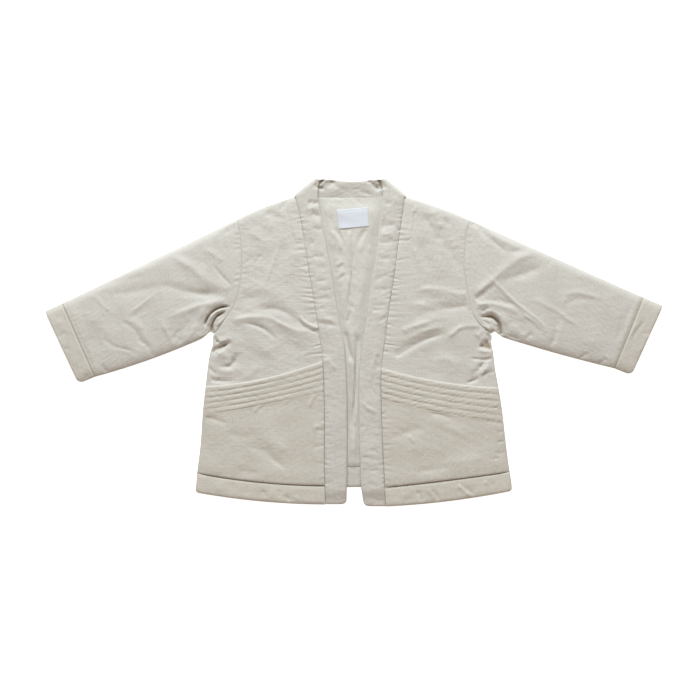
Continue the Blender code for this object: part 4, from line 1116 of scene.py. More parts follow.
def makeHemBack():
    def place(row, share, below):
        x, y, near = backEdges(row, share, backShape["hemRow"], 3)
        edge = layers["sideSeam"] - layers["seamGap"]
        flat = layers["backWall"] + backShape["hemSwell"] * calm(near["side"], backShape["hemSwellReach"])
        uneven = backShape["hemCrinkle"] * crinkle(x, y, backShape["hemSeed"])
        flat = flat + uneven * ease(*backShape["hemCrinkleReach"], near["side"])
        top = edge + (flat - edge) * dome(near["side"], layers["innerFoldRadius"])
        top = mix(backShape["hemEdgeHeights"][1], top, dome(near["end"], backShape["hemRound"]))
        top = top - groove(near["start"], backShape["hemGroove"])
        bottom = (edge - layers["edgeWall"]) * (1 - dome(near["side"], layers["foldRadius"]))
        bottom = mix(backShape["hemEdgeHeights"][0], bottom, dome(near["end"], backShape["hemRound"]))
        return x, y, np.where(below, np.minimum(bottom, top - layers["edgeWall"]), top), (x, y)

    rows = mix(backShape["hemRow"], 3, spread(*backShape["hemCells"]))
    piece = laidPiece("hem_back_cloth", backColumns(), rows, place, "shell")
    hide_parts("hem_back")


makeBack()
makeHemBack()
print("back laid")


# The lining in the open front, and the blank label.

liningShape = {
    "end": -156.6,
    "endSag": 0.6,
    "round": 4.0,
    "endRound": 10.0,  # it drops into the seam above the back's hem
    # painted shade where the lining drops into the seam above the back's hem
    "endShade": 0.45,
    "turn": 30.0,
    "puff": 2.7,  # it stands up between the two bands
    "puffReach": (-1, 11.0),
    "puffRows": (181, 160),
    "openReach": 5,  # creases fade out beside the bands
    "creaseShare": 1.25,
    "crinkle": 1.7,
    "seed": 101,
    "deepest": -0.5,
    "shadeReach": (7, 1),
    "acrossCells": (160, 1.5),
    "downCells": (336, 1.9),
    "left": [(-156, -90), (140, -86), (165, -74), (180, -57)],
    "right": [(-156, 82), (140, 78), (165, 65), (180, 49)],
    "creases": [
        # the pleat down the middle of the back
        crease(1.1, 3.4, [(-6, 141), (-6, 95), (-8, 69), (-13, 33)], lean=0.5, fadeIn=0.05),
        crease(-0.9, 1.4, [(-1, 141), (-1, 95), (-3, 69), (-8, 33)], fadeIn=0.05),
        crease(-0.9, 2.2, [(-23, 143), (-16, 129), (-9, 114)], fadeIn=0.1),
        crease(0.6, 2.4, [(-27, 140), (-20, 126), (-13, 112)], fadeIn=0.1),
        crease(-0.6, 1.8, [(-32, 167), (-27, 150), (-20, 139)]),
        crease(-0.8, 2.2, [(15, 142), (8, 128), (2, 114)], fadeIn=0.1),
        crease(0.5, 2.4, [(19, 138), (12, 124), (6, 110)]),
        crease(0.7, 2, [(-23, 94), (-12, 101)]),
        crease(-0.6, 1.6, [(-22, 91), (-11, 98)]),
        crease(0.7, 2, [(-22, 80), (-9, 90)]),
        crease(-0.6, 1.6, [(-20, 77), (-8, 86)]),
        crease(0.7, 5, [(10, 96), (7, 60), (2, 28)]),
        crease(-3.0, 1.7, [(5, 14), (4.6, -8), (4.4, -30), (3.1, -66), (-0.6, -92), (-4, -112)], fadeIn=0.2,
               fadeOut=0.2),
        crease(1.2, 2.6, [(0.5, 0), (0, -30), (-1.5, -66), (-4.5, -90)], fadeIn=0.2),
        crease(-2.2, 1.7, [(-12, 14), (-9.5, 2), (-4, -16), (-1, -28)], fadeIn=0.2, fadeOut=0.3),
        crease(1.0, 2.4, [(-3, 20), (-2, 2), (1, -14)]),
        crease(-1.2, 1.8, [(-8, 22), (-4, 36), (-3, 52)], fadeIn=0.2),
        crease(-1.0, 1.5, [(6.5, -70), (6, -100), (6.2, -140)], fadeIn=0.1),
        crease(0.9, 3, [(2, -104), (1, -128), (0, -146)]),
    ],
    "flat": (0.175, 0.34),
    "area": 0.0565,
}

label = {
    "centre": (-0.6, 154.4),
    "size": (38.5, 24.0),
    "tilt": math.radians(5),
    "wall": 0.5,
    "lift": 0.25,
    "bare": (0.45, 0.85),
    "wave": (0.12, 22),
    "seed": 141,
    "edgeThin": 0.35,
    "edgeRound": 0.8,
    "selvedge": (0.12, 1.0, 0.5),  # its height, how far in it lies and its width
    "pitch": 0.8,
    "flat": (0.0385, 0.024),
}


def bare(x, y):
    # 0 under the label, where the lining lies smooth, and 1 away from it
    away = [(at - middle) / size for at, middle, size in zip((x, y), label["centre"], label["size"])]
    return ease(*label["bare"], np.hypot(*away))


def liningPuff(x, y):
    left, right = leftHalf["freeLine"](y), rightHalf["freeLine"](y)
    inside = np.minimum(x - left, right - x)
    puff = liningShape["puff"] * ease(*liningShape["puffReach"], inside) * ease(*liningShape["puffRows"], y)
    return puff, ease(0, liningShape["openReach"], inside)


def makeLining():
    top = neck["seam"][1][1] - neck["clearance"]
    bottom = liningShape["end"]
    edges = straightLine(liningShape["left"]), straightLine(liningShape["right"])

    def place(row, share, below):
        level = mix(top, bottom, row)
        left, right = (line(level) for line in edges)
        x = mix(left, right, share)
        sag = liningShape["endSag"] * ease(bottom + liningShape["turn"], bottom, level)
        rise = straightLine(neck["seam"])(x) - neck["seam"][1][1]
        rise = rise * ease(top - liningShape["turn"], top, level)
        y = level + rise - sag * (1 - 4 * share * (1 - share))
        fromSide = np.minimum(share, 1 - share) * (right - left)
        rolled = dome(np.minimum(top - level, fromSide), liningShape["round"])
        rolled = rolled * dome(level - bottom, liningShape["endRound"])
        puff, inside = liningPuff(x, y)
        relief = liningShape["creaseShare"] * creased(x, y, liningShape["creases"])
        relief = relief + liningShape["crinkle"] * crinkle(x, y, liningShape["seed"])
        relief = relief * inside * bare(x, y)
        thick = mix(layers["edgeWall"], layers["liningWall"], rolled)
        face = layers["liningFloor"] + thick + np.maximum(puff + relief, liningShape["deepest"]) * rolled
        # painted shade along the lining's lower end
        shade = liningShape["endShade"] * ease(*liningShape["shadeReach"], level - bottom)
        return x, y, np.where(below, layers["liningFloor"], face), (x, y), shade

    columns, rows = spread(*liningShape["acrossCells"]), spread(*liningShape["downCells"])
    piece = laidPiece("back_lining_cloth", columns, rows, place, "lining")
    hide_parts("back_lining")


def labelFace(u, v):
    # u and v run from its centre in millimetres, before it is tilted
    cos, sin = math.cos(label["tilt"]), math.sin(label["tilt"])
    x = label["centre"][0] + u * cos - v * sin
    y = label["centre"][1] + u * sin + v * cos
    puff, _ = liningPuff(x, y)
    wave, length = label["wave"]
    lift = layers["liningFloor"] + layers["liningWall"] + label["lift"]
    lift = lift + wave * waves(x, y, length, label["seed"])
    edge = np.minimum(label["size"][0] / 2 - np.abs(u), label["size"][1] / 2 - np.abs(v))
    height, inset, width = label["selvedge"]
    selvedge = height * np.exp(-(((edge - inset) / width) ** 2))
    thin = label["edgeThin"]
    return x, y, lift + puff, label["wall"] * (thin + (1 - thin) * dome(edge, label["edgeRound"])) + selvedge


def makeLabel():
    def place(row, share, below):
        u, v = (share - 0.5) * label["size"][0], (0.5 - row) * label["size"][1]
        x, y, floor, wall = labelFace(u, v)
        return x, y, np.where(below, floor, floor + wall), (u, v)

    columns, rows = (spread(side, label["pitch"]) for side in label["size"])
    piece = laidPiece("label_cloth", columns, rows, place, "label")
    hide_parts("label")


makeLining()
makeLabel()
print("lining and label laid")


# The sleeves and cuffs, as flattened tubes.

sleeveShape = {
    "innerTop": 4.1,
    "lift": 2.2,
    "fullness": (0.22, 1.0),
    "wall": 3.0,
    "shownWall": 1.2,
    "liftRun": (-8, 34.0),  # it rises gently from the armhole
    "seamClearance": 0.06,
    "foldHeight": 3.5,
    "thinnest": 3.0,
    "underarmRise": 3.4,
    "underarmNotch": (4.2, 7.0, 9.0),
    "underarmRound": (6.0, 26.0, 60.0),
    "underarmClearance": 0.5,
    "underarmRows": (40.0, 10.0),
    "armGroove": 0.45,
    "cuffGroove": 0.95,
    "floorCalm": 8,
    "cuffCorner": 7.0,
    "cuffEndDrop": 1.2,
    "cuffEndRound": 3.0,
    "cuffCrinkle": 0.7,
    "cuffSeed": 190,
    "cuffLength": 23,
    "cuffFirst": 0.006,  # the gap at its seam, as a share of its length
    "stitchFromSeam": {"left": 4.0, "right": 2.2},
    "stitchSunk": (0.6, 0.8),
    "armShade": 0.3,  # the thin painted shades along the seams
    "cuffShade": 0.6,
    "cuffShadeWidth": 1.2,
    "stitchShade": 0.4,
    "length": 200.0,
    "width": 118.0,
    "lengthCell": 1.8,
    "cuffCell": 1.3,
    "underCell": 3.0,
    "crumpledAlong": (0, 42),
    "crumpledDown": (80, 118),
    "flat": (0.205, 0.252),
    "area": 0.0475,
    "cuffFlat": (0.026, 0.2),
}

leftSleeve = {
    "seed": 151,
    "creases": [
        # the long trough and the ridges over it
        crease(-1.1, 6.5, [(-324, 60), (-292, 60), (-259, 66), (-231, 69), (-199, 61), (-158, 60)],
               fadeOut=0.15),
        crease(-0.9, 4.5, [(-214, 65), (-192, 60), (-166, 60)]),
        crease(0.95, 5.5, [(-237, 113), (-204, 94), (-182, 76), (-152, 64)], fadeOut=0.1),
        crease(-0.6, 5, [(-222, 112), (-200, 103), (-178, 93)]),
        crease(-1.0, 1.8, [(-176, 97), (-166, 84), (-153, 71)], fadeOut=0.1),
        crease(0.7, 4, [(-190, 118), (-172, 108), (-156, 96)]),
        crease(0.6, 2, [(-328, 62), (-311, 45), (-295, 30)]),
        crease(0.6, 2.0, [(-286, 31), (-267, 45), (-240, 65)], lean=-0.3),
        crease(-0.4, 3, [(-280, 28), (-262, 39), (-244, 52)]),
        crease(-0.75, 1.9, [(-298, 31), (-274, 16), (-266, 2), (-256, -6), (-250, -20)], fadeOut=0.1),
        crease(0.6, 3, [(-290, 32), (-268, 20), (-258, 4), (-248, -6)]),
        crease(-0.8, 1.7, [(-317, 7), (-297, -6), (-278, -11), (-270, -20)]),
        crease(-1.0, 2.4, [(-316, -27), (-311, -33), (-305, -41)], fadeOut=0),
        crease(0.7, 2, [(-241, 31), (-234, 14), (-222, -8)]),
        crease(-0.9, 4, [(-226, 8), (-212, 0)]),
        # the fold at the underarm, with its hooked end
        crease(1.4, 4.5, [(-157, 53), (-187, 47), (-213, 38), (-240, 28)], lean=0.3, fadeIn=0.1),
        crease(-6.4, 1.35, [(-152, 43.5), (-162, 44), (-169.5, 42), (-176.5, 37.5), (-181.5, 31.5),
                            (-184.5, 25), (-185.5, 18)], fadeIn=0.3, fadeOut=0.2),
        crease(1.1, 5.0, [(-157, 50), (-170, 49), (-183, 43), (-191, 31), (-195, 20)], fadeIn=0.3),
        crease(1.5, 1.9, [(-158, 41), (-170, 37.5), (-176, 32.5), (-180, 26), (-181.5, 18)], fadeIn=0.2,
               fadeOut=0.2),
        crease(-5.6, 1.35, [(-158, 38), (-165.5, 35.5), (-170.6, 32), (-174, 27), (-176.5, 21), (-177, 14)],
               fadeIn=0.35, fadeOut=0),
        crease(1.2, 3, [(-158, 28), (-166, 25), (-170, 17)]),
        crease(0.9, 5, [(-196, 28), (-200, 12), (-214, 0)]),
        crease(-0.7, 4, [(-205, 30), (-212, 16), (-226, 8)]),
        crease(-0.8, 2.4, [(-168, 131), (-144, 147)], fadeOut=0),
        # slower swells towards the cuff
        crease(0.7, 8, [(-336, 36), (-318, 22), (-300, 8)]),
        crease(-0.5, 8, [(-330, 8), (-310, -12)]),
        crease(0.6, 7, [(-300, 84), (-270, 92), (-240, 98)]),
        crease(-0.5, 5, [(-312, 72), (-284, 78), (-256, 84)]),
    ],
    "armTicks": tickRow((147, 141, 134, 128, 122, 116, 104, 92, 84, 76), 0.75, 7, 1.5, 41),
}

rightSleeve = {
    "seed": 173,
    "creases": [
        crease(-1.2, 3, [(142, 149), (156, 145), (163, 135), (182, 119), (196, 107)], fadeIn=0.05),
        crease(0.8, 4, [(166, 142), (184, 128), (204, 118)]),
        crease(-1.0, 3, [(192, 112), (204, 113), (220, 115)]),
        crease(1.5, 5, [(150, 57), (177, 81), (202, 101), (222, 110), (236, 111)], fadeIn=0.1),
        crease(-1.3, 5, [(180, 73), (207, 83), (227, 91), (243, 100)]),
        crease(-1.2, 3.6, [(151, 52), (168, 65), (178, 71)], fadeIn=0.05),
        crease(-0.9, 4, [(160, 52), (182, 50), (208, 45)]),
        crease(1.1, 2.4, [(155, 91), (178, 73), (198, 53), (219, 36), (234, 24), (243, 10), (252, 2)],
               lean=-0.35),
        crease(-0.8, 3, [(196, 46), (212, 32), (228, 18), (238, 4)]),
        crease(-0.9, 2.3, [(254, 33), (252, 10), (248, -1), (238, -7)]),
        crease(0.5, 3, [(260, 30), (258, 10), (254, -6)]),
        crease(1.5, 4, [(150, 46), (173, 48), (198, 41), (219, 29), (236, 15)], lean=-0.3, fadeIn=0.1),
        crease(-6.6, 1.9, [(156, 31), (164, 31.5), (171, 32), (175.5, 30), (180, 25.5), (183, 19.5),
                           (184, 11)], fadeIn=0.35, fadeOut=0),
        crease(-2.0, 2.6, [(180, 24), (181, 18), (181, 12)], fadeIn=0.5, fadeOut=0.3),
        crease(1.2, 4.2, [(160, 37), (172, 38.5), (185, 31), (192, 17)], fadeIn=0.3),
        crease(1.2, 3, [(160, 20), (168, 17), (174, 12)]),
        crease(-0.8, 1.6, [(159, 37), (165, 41), (170, 43)]),
        crease(-0.8, 1.3, [(160, 28), (166, 24), (172, 20)]),
        crease(-1.0, 3, [(188, 12), (198, 6), (210, 3)]),
        crease(0.8, 5, [(196, 24), (206, 12), (222, 4)]),
        crease(-1.1, 2.4, [(214, 3), (224, 12)]),
        crease(-1.0, 2.4, [(282, -21), (294, -13)], fadeIn=0),
        crease(-1.0, 2.4, [(306, -28), (317, -20)], fadeIn=0),
        crease(0.65, 2.5, [(257, 38), (263, 54), (269, 60), (284, 61), (302, 56), (321, 49)]),
        crease(-0.5, 3, [(264, 38), (271, 50), (284, 54), (300, 49)]),
        crease(0.8, 3, [(220, 57), (241, 45), (252, 40), (266, 29), (286, 17)]),
        crease(-0.6, 1.8, [(248, 103), (240, 93)]),
        crease(0.6, 8, [(270, 90), (296, 82), (322, 70)]),
        crease(-0.5, 7, [(282, 76), (306, 70), (330, 58)]),
        crease(0.6, 8, [(280, 2), (300, -2), (318, -8)]),
        crease(-0.7, 3.5, [(349, 50), (336, 22), (326, -6)]),
    ],
    "armTicks": tickRow((140, 131, 122, 110, 101, 88, 80, 70), 0.6, 7, 1.5, 43),
}

cuffCreases = {
    "left": [
        crease(-0.5, 3, [(-370, 6), (-356, 12)]),
        crease(-0.5, 3, [(-362, -12), (-352, -6)]),
        crease(0.5, 4, [(-372, 22), (-360, 26)]),
        crease(0.4, 5, [(-352, -24), (-342, -22)]),
        crease(-0.8, 2.4, [(-338, -52), (-330, -38)], fadeIn=0),
    ],
    "right": [
        crease(-0.7, 2, [(346, 2), (355, 16), (365, 29)]),
        crease(0.6, 2.4, [(342, 4), (350, 17), (359, 30)]),
        crease(-0.5, 2, [(358, 10), (373, 11)], fadeOut=0),
        crease(0.5, 4, [(352, -12), (362, -8)]),
    ],
}

sleeves = {"left": leftSleeve, "right": rightSleeve}


def onFold(line, down):
    return [mix(line["top"][i], line["bottom"][i], down) for i in (0, 1)]


def placeOnSleeve(half, along, down):
    # along runs from the armhole to the cuff, and down from the upper fold to the lower one
    lowest = half["levels"]["underarm"][0] + sleeveShape["underarmRise"]
    y = mix(half["levels"]["shoulder"][0], lowest, down)
    clear = sleeveShape["underarmClearance"] * ease(*sleeveShape["underarmRows"], y)
    x = half["outerLine"](y) + half["sign"] * (sleeveShape["seamClearance"] + clear)
    seamX, seamY = onFold(half["cuffSeam"], down)
    sag = half["sleeveSag"] * 4 * along * (1 - along) * down**2
    rise, at, reach = sleeveShape["underarmNotch"]
    notch = rise * np.exp(-(((along * sleeveShape["length"] - at) / reach) ** 2))
    notch = notch * ease(0, 0.04, along) * down**8
    return mix(x, seamX, along), mix(y, seamY, along) - sag + notch


def placeOnCuff(half, along, down):
    seam, end = onFold(half["cuffSeam"], down), onFold(half["cuffEnd"], down)
    length = math.dist(half["cuffEnd"]["top"], half["cuffEnd"]["bottom"])
    run = np.hypot(end[0] - seam[0], end[1] - seam[1])
    corner = sleeveShape["cuffCorner"]
    rounded = corner * (1 - dome((1 - down) * length, corner))
    rounded = rounded + corner / 4 * (1 - dome(down * length, corner / 4))
    reached = along - rounded / run * along**3
    return mix(seam[0], end[0], reached), mix(seam[1], end[1], reached)


def tubeLift(down):
    # fullest close to the upper fold, and falling slowly to the lower one
    near, far = sleeveShape["fullness"]
    return sleeveShape["lift"] * dome(down, near) * dome(1 - down, far)


def tubeHeights(placeOn, half, along, down, top, floor):
    # the top and underside of a flattened tube, rounded over at its two folds
    starts, ends = placeOn(half, along, np.zeros_like(down)), placeOn(half, along, np.ones_like(down))
    tight, tightFrom, tightTo = sleeveShape["underarmRound"]
    fuller = ease(tightTo, tightFrom, along * sleeveShape["length"])
    fuller = fuller * (down > 0.5) * (placeOn is placeOnSleeve)
    soft = mix(np.where(down < 0.5, layers["foldRadius"], layers["softRadius"]), tight, fuller)
    width = np.hypot(ends[0] - starts[0], ends[1] - starts[1])
    reach = np.minimum(down, 1 - down) * width
    top = mix(sleeveShape["foldHeight"], softFloor(top, sleeveShape["thinnest"]), dome(reach, soft))
    return top, mix(sleeveShape["foldHeight"], floor, dome(reach, layers["foldRadius"]))


def sleeveFace(half, along, down):
    look = sleeves[half["name"]]
    x, y = placeOnSleeve(half, along, down)
    gone = along * sleeveShape["length"]
    left = (1 - along) * sleeveShape["length"]
    relief = creased(x, y, look["creases"]) + crinkle(x, y, look["seed"])
    relief += ticked(y, gone, look["armTicks"]) + ticked(down * sleeveShape["width"], left, cuffTicks)
    relief = relief * calm(np.minimum(gone, left))
    fromStitch = left - sleeveShape["stitchFromSeam"][half["name"]]
    # painted shade: deep creases, the armhole and cuff seams and the stitch line by the cuff darken the
    # colour
    shade = foldShade(relief) + seamShade(gone, sleeveShape["armShade"])
    cuffShade = seamShade(left, sleeveShape["cuffShade"], sleeveShape["cuffShadeWidth"])
    shade += cuffShade + seamShade(fromStitch, sleeveShape["stitchShade"])
    sunk, reach = sleeveShape["stitchSunk"]
    sewn = sunk * np.exp(-((fromStitch / reach) ** 2))
    top = sleeveShape["innerTop"] + sleeveShape["wall"] + relief - sewn
    top = top - groove(gone, sleeveShape["armGroove"]) - groove(left, sleeveShape["cuffGroove"])
    top = top + ease(*sleeveShape["liftRun"], gone) * tubeLift(down)
    floor = dents(x, y, look["seed"] + 5) * calm(np.minimum(gone, left), sleeveShape["floorCalm"])
    return x, y, *tubeHeights(placeOnSleeve, half, along, down, top, floor), np.clip(shade, 0, 1)


def cuffFace(half, along, down):
    x, y = placeOnCuff(half, along, down)
    run = math.dist(half["cuffSeam"]["top"], half["cuffEnd"]["top"])
    gone, left = along * run, (1 - along) * run
    uneven = sleeveShape["cuffCrinkle"] * crinkle(x, y, sleeveShape["cuffSeed"] + half["sign"])
    relief = creased(x, y, cuffCreases[half["name"]]) + uneven
    relief = relief * calm(np.minimum(gone, left), layers["hemCalmReach"])
    drop = sleeveShape["cuffEndDrop"] * (1 - dome(left, sleeveShape["cuffEndRound"]))
    top = sleeveShape["innerTop"] + sleeveShape["wall"] + relief - groove(gone) - drop
    top = top + tubeLift(down)
    return x, y, *tubeHeights(placeOnCuff, half, along, down, top, drop / 2), np.zeros_like(x)


cuffTicks = scatteredTicks(4, 112, 8, 0.3, 6, 1.6, 45)
overTop = spread(sleeveShape["width"], mesh["pitch"], closer=sleeveShape["crumpledDown"])
underneath = spread(sleeveShape["width"], sleeveShape["underCell"])
tubeTurns = np.concatenate([overTop, 2 - underneath[::-1][1:]])


def makeTube(name, half, face, length, rows):
    def place(row, down, below):
        x, y, top, bottom, fold = face(half, row, down)
        weave = row * length, down * sleeveShape["width"]
        return x, y, np.where(below, bottom, top), weave, np.where(below, 0.0, fold)

    # the cuffs take the pockets' finish, with its painted warm tint
    finish = "pocket" if face is cuffFace else "shell"
    piece = tubePiece(name + "_cloth", tubeTurns, rows, place, sleeveShape["shownWall"], finish)
    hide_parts(name)


sleeveRows = spread(sleeveShape["length"], sleeveShape["lengthCell"], closer=sleeveShape["crumpledAlong"])
cuffRows = mix(sleeveShape["cuffFirst"], 1, spread(sleeveShape["cuffLength"], sleeveShape["cuffCell"]))
for half in halves:
    makeTube("sleeve_" + half["name"], half, sleeveFace, sleeveShape["length"], sleeveRows)
    makeTube("cuff_" + half["name"], half, cuffFace, sleeveShape["cuffLength"], cuffRows)
print("sleeves and cuffs laid")


# The collar band: one strip from hem to hem, folded over at each shoulder to go round the neck.

bandShape = {
    "wall": 4.4,
    "turnWall": 4.0,
    "crown": 0.6,
    "seamDrop": (1.6, 11.0),
    "edgeRound": 3.4,
    "corner": 6.0,
    "endRound": 4.0,
    "endThin": 0.35,
    "neckFan": 80.0,
    "neckLift": 2.2,
    "neckLiftLength": 60.0,
    "seamLiftShare": 0.2,
    "creaseBlend": 14.0,
    "backFan": 36.0,
    "backSeamMid": 2.3,
    "backFreeMid": 5.2,
    "turnSteps": 14,
    "backSteps": 70,
    "seed": 211,
    "crinkle": 1.3,
    "deepest": 4.2,
    "highest": 2.0,
    "lowest": -2.0,
    "edgeThin": 0.06,
    "outerGroove": 0.4,
    "innerGroove": 0.1,
    "leastOuter": 0.12,
    "leastThick": 0.3,
    "acrossCells": (30, 1.2),
    "flat": (0.031, 0.885),
    "creases": [
        # left, from the shoulder down
        crease(-1.3, 3, [(-58, 176), (-50, 173), (-42, 174)], fadeOut=0.1),
        crease(-1.4, 4.5, [(-54, 161), (-47, 158), (-40, 156)], fadeOut=0.1),
        crease(0.6, 4, [(-62, 166), (-48, 166), (-40, 165)]),
        crease(-0.8, 3, [(-52, 142), (-44, 140), (-37, 141)]),
        crease(-0.6, 3, [(-56, 124), (-48, 121)]),
        crease(-0.7, 2.6, [(-52, 108), (-42, 106), (-34, 107)]),
        crease(-0.6, 2.6, [(-48, 93), (-40, 92), (-32, 94)]),
        crease(-0.7, 2.6, [(-50, 77), (-40, 76), (-30, 78)]),
        crease(-0.6, 2.4, [(-46, 65), (-36, 64), (-26, 66)]),
        crease(-0.7, 2.4, [(-48, 55), (-38, 54), (-28, 55)]),
        crease(-0.6, 2.2, [(-44, 42), (-32, 41)]),
        crease(-1.0, 2.4, [(-48, 25), (-34, 22), (-20, 20)]),
        crease(0.8, 3, [(-46, 30), (-34, 28), (-22, 27)]),
        crease(-0.9, 2.2, [(-49, -17), (-38, -14), (-27, -19)]),
        crease(0.6, 3, [(-38, -20), (-28, -26), (-22, -38)]),
        crease(-0.4, 2.6, [(-31, -60), (-30, -84)]),
        crease(0.35, 3, [(-24, -70), (-23, -100)]),
        crease(-0.4, 2.4, [(-34, -176), (-26, -178)]),
        # right
        crease(-0.7, 3, [(38, 174), (50, 172)]),
        crease(-1.3, 5, [(32, 147), (42, 145), (54, 147)]),
        crease(-0.9, 1.8, [(52, 143), (60, 139), (70, 142)]),
        crease(0.6, 3, [(30, 135), (44, 134), (56, 136)]),
        crease(-0.8, 3, [(30, 125), (40, 124), (52, 127)]),
        crease(-0.7, 2.8, [(28, 105), (40, 104), (50, 106)]),
        crease(-0.8, 2.6, [(24, 76), (34, 80), (46, 85)]),
        crease(-0.6, 2.4, [(22, 66), (34, 65), (46, 67)]),
        crease(-0.7, 2.2, [(20, 46), (32, 45), (43, 47)]),
        crease(-0.7, 2.2, [(20, 40), (32, 40), (42, 41)]),
        crease(-0.8, 2.2, [(30, 24), (36, 28), (43, 33)]),
        crease(0.7, 2, [(34, -9), (28, -15), (26, -23), (19, -40)]),
        crease(-0.5, 2.2, [(36, -14), (31, -22), (30, -36)]),
        crease(-0.8, 2, [(27, -31), (36, -31)], fadeOut=0),
        crease(0.9, 2, [(31, -19), (36, -20)], fadeOut=0),
        crease(-0.5, 2.2, [(26, -39), (23, -56), (28, -68), (34, -72)]),
        crease(0.8, 2.2, [(7, -73), (23, -85), (33, -90)], lean=-0.3),
        crease(-0.5, 2, [(8, -106), (15, -105)]),
        crease(0.6, 2, [(22, -110), (33, -115)]),
        crease(-0.6, 2.2, [(18, -132), (34, -140)]),
        crease(-0.5, 2.2, [(8, -144), (34, -146)]),
        crease(-0.5, 2.2, [(10, -161), (35, -161)]),
        crease(-0.4, 2, [(14, -176), (32, -180)]),
        # round the back of the neck, where the strip is crushed at both corners
        crease(-4.4, 4.0, [(-38, 206), (-41, 199), (-45, 189)], fadeIn=0, fadeOut=0.25),
        crease(1.9, 1.6, [(-34, 203), (-38, 197.5), (-44, 191)], fadeIn=0.1, fadeOut=0.1),
        crease(-2.1, 4.0, [(-23, 204), (-28, 198), (-35, 192)], fadeIn=0, fadeOut=0.4),
        crease(0.5, 3, [(-14, 202), (-18, 192), (-24, 186)]),
        crease(-4.2, 3.4, [(30, 206), (33, 199), (37, 189)], fadeIn=0, fadeOut=0.25),
        crease(0.7, 2, [(26, 204), (31, 197), (37, 191)], fadeIn=0.1),
        crease(-2.0, 2.8, [(16, 204), (23, 197), (34, 189)], fadeIn=0, fadeOut=0.2),
        crease(-0.7, 2.4, [(6, 187), (15, 186), (26, 183)]),
        crease(-0.25, 2.5, [(-20, 190), (0, 190), (20, 191)]),
    ],
}

bandSeamTicks = tickRow((154, 148, 139, 126, 115, 104, 95, 86, 80, 66, 60, 54, 48, 40, 35, 26, 23, -20, -34,
                         -47, -69, -80, -90, -100, -109, -118, -121, -134, -146, -153, -165, -176),
                        0.6, 6, 1.3, 51)
bandFreeTicks = scatteredTicks(-196, 190, 11, 0.25, 5, 2.0, 52)
up = np.array((0.0, 0.0, 1.0))


def bandDown(half, drop):
    # down one front, from the fold at the shoulder
    top, end = half["crease"]["free"][1], half["bandEnd"]
    y = top - drop
    seamY = y - (top - half["crease"]["seam"][1]) * (1 - ease(0, bandShape["neckFan"], drop))
    blend = 1 - ease(0, bandShape["creaseBlend"], drop)
    inward = -half["sign"]
    corner = bandShape["corner"] * (1 - dome(y - end, bandShape["corner"]))
    freeX = mix(half["freeLine"](y), half["crease"]["free"][0], blend) - inward * corner
    seamX = mix(half["seamLine"](seamY) + inward * layers["shownGap"] / 2, half["crease"]["seam"][0], blend)
    lift = bandShape["neckLift"] * (1 - ease(0, bandShape["neckLiftLength"], drop))
    middle = layers["frontFloor"] - droop(y) + bandShape["wall"] / 2
    thick = bandShape["wall"] * mix(bandShape["endThin"], 1, dome(y - end, bandShape["endRound"]))
    free = np.stack([freeX, y, middle + lift], 1)
    seam = np.stack([seamX, seamY, middle + lift * bandShape["seamLiftShare"]], 1)
    return free, seam, np.tile(up, (len(drop), 1)), thick


def bandTurn(half, turn):
    # half round about the fold at one shoulder, from front to back
    free, seam = (np.array((*half["crease"][name], 0.0)) for name in ("free", "seam"))
    along = (free - seam) / np.linalg.norm(free - seam)
    outward = np.array((along[1], -along[0], 0.0)) * half["sign"]
    normal = np.outer(np.sin(turn), outward) + np.outer(np.cos(turn), up)
    upper = layers["frontFloor"] + bandShape["wall"] / 2
    heights = ((upper + bandShape["neckLift"], bandShape["backFreeMid"]),
               (upper + bandShape["neckLift"] * bandShape["seamLiftShare"], bandShape["backSeamMid"]))
    places = [axis + up * (high + low) / 2 + normal * (high - low) / 2
              for axis, (high, low) in zip((free, seam), heights)]
    return *places, normal, np.full(len(turn), bandShape["turnWall"])


def bandRound(share):
    # round the back of the neck, with the strip's inner face up
    left, right = leftHalf["crease"], rightHalf["crease"]
    freeX = mix(left["free"][0], right["free"][0], share)
    fromLeft = 1 - ease(0, bandShape["backFan"], freeX - left["free"][0])
    fromRight = 1 - ease(0, bandShape["backFan"], right["free"][0] - freeX)
    seamX = freeX + (left["seam"][0] - left["free"][0]) * fromLeft
    seamX = seamX + (right["seam"][0] - right["free"][0]) * fromRight
    freeY, seamY = smoothLine(neck["freeEdge"])(freeX), straightLine(neck["seam"])(seamX)
    free = np.stack([freeX, freeY, np.full_like(freeX, bandShape["backFreeMid"])], 1)
    seam = np.stack([seamX, seamY, np.full_like(freeX, bandShape["backSeamMid"])], 1)
    return free, seam, np.tile(-up, (len(share), 1)), np.full(len(share), bandShape["turnWall"])


def bandStrip():
    turns = np.arange(1, bandShape["turnSteps"]) / bandShape["turnSteps"] * math.pi
    shares = np.arange(0, bandShape["backSteps"] + 1) / bandShape["backSteps"]
    downs = []
    for half in halves:
        length = half["crease"]["free"][1] - half["bandEnd"]
        downs.append(bandDown(half, spread(length, mesh["pitch"]) * length))
    parts = [[side[::-1] for side in downs[0]], bandTurn(leftHalf, turns), bandRound(shares),
             [side[::-1] for side in bandTurn(rightHalf, turns)], downs[1]]
    return [np.concatenate(sides) for sides in zip(*parts)]


def bandRelief(x, y, fromSeam, fromFree):
    relief = creased(x, y, bandShape["creases"]) + bandShape["crinkle"] * crinkle(x, y, bandShape["seed"])
    relief += ticked(y, fromSeam, bandSeamTicks) + ticked(y, fromFree, bandFreeTicks)
    # painted shade for the band's deep creases
    fold = foldShade(relief)
    relief = np.clip(relief, -bandShape["deepest"], bandShape["highest"])
    return relief * calm(np.minimum(fromSeam + 1, fromFree), layers["hemCalmReach"]), fold


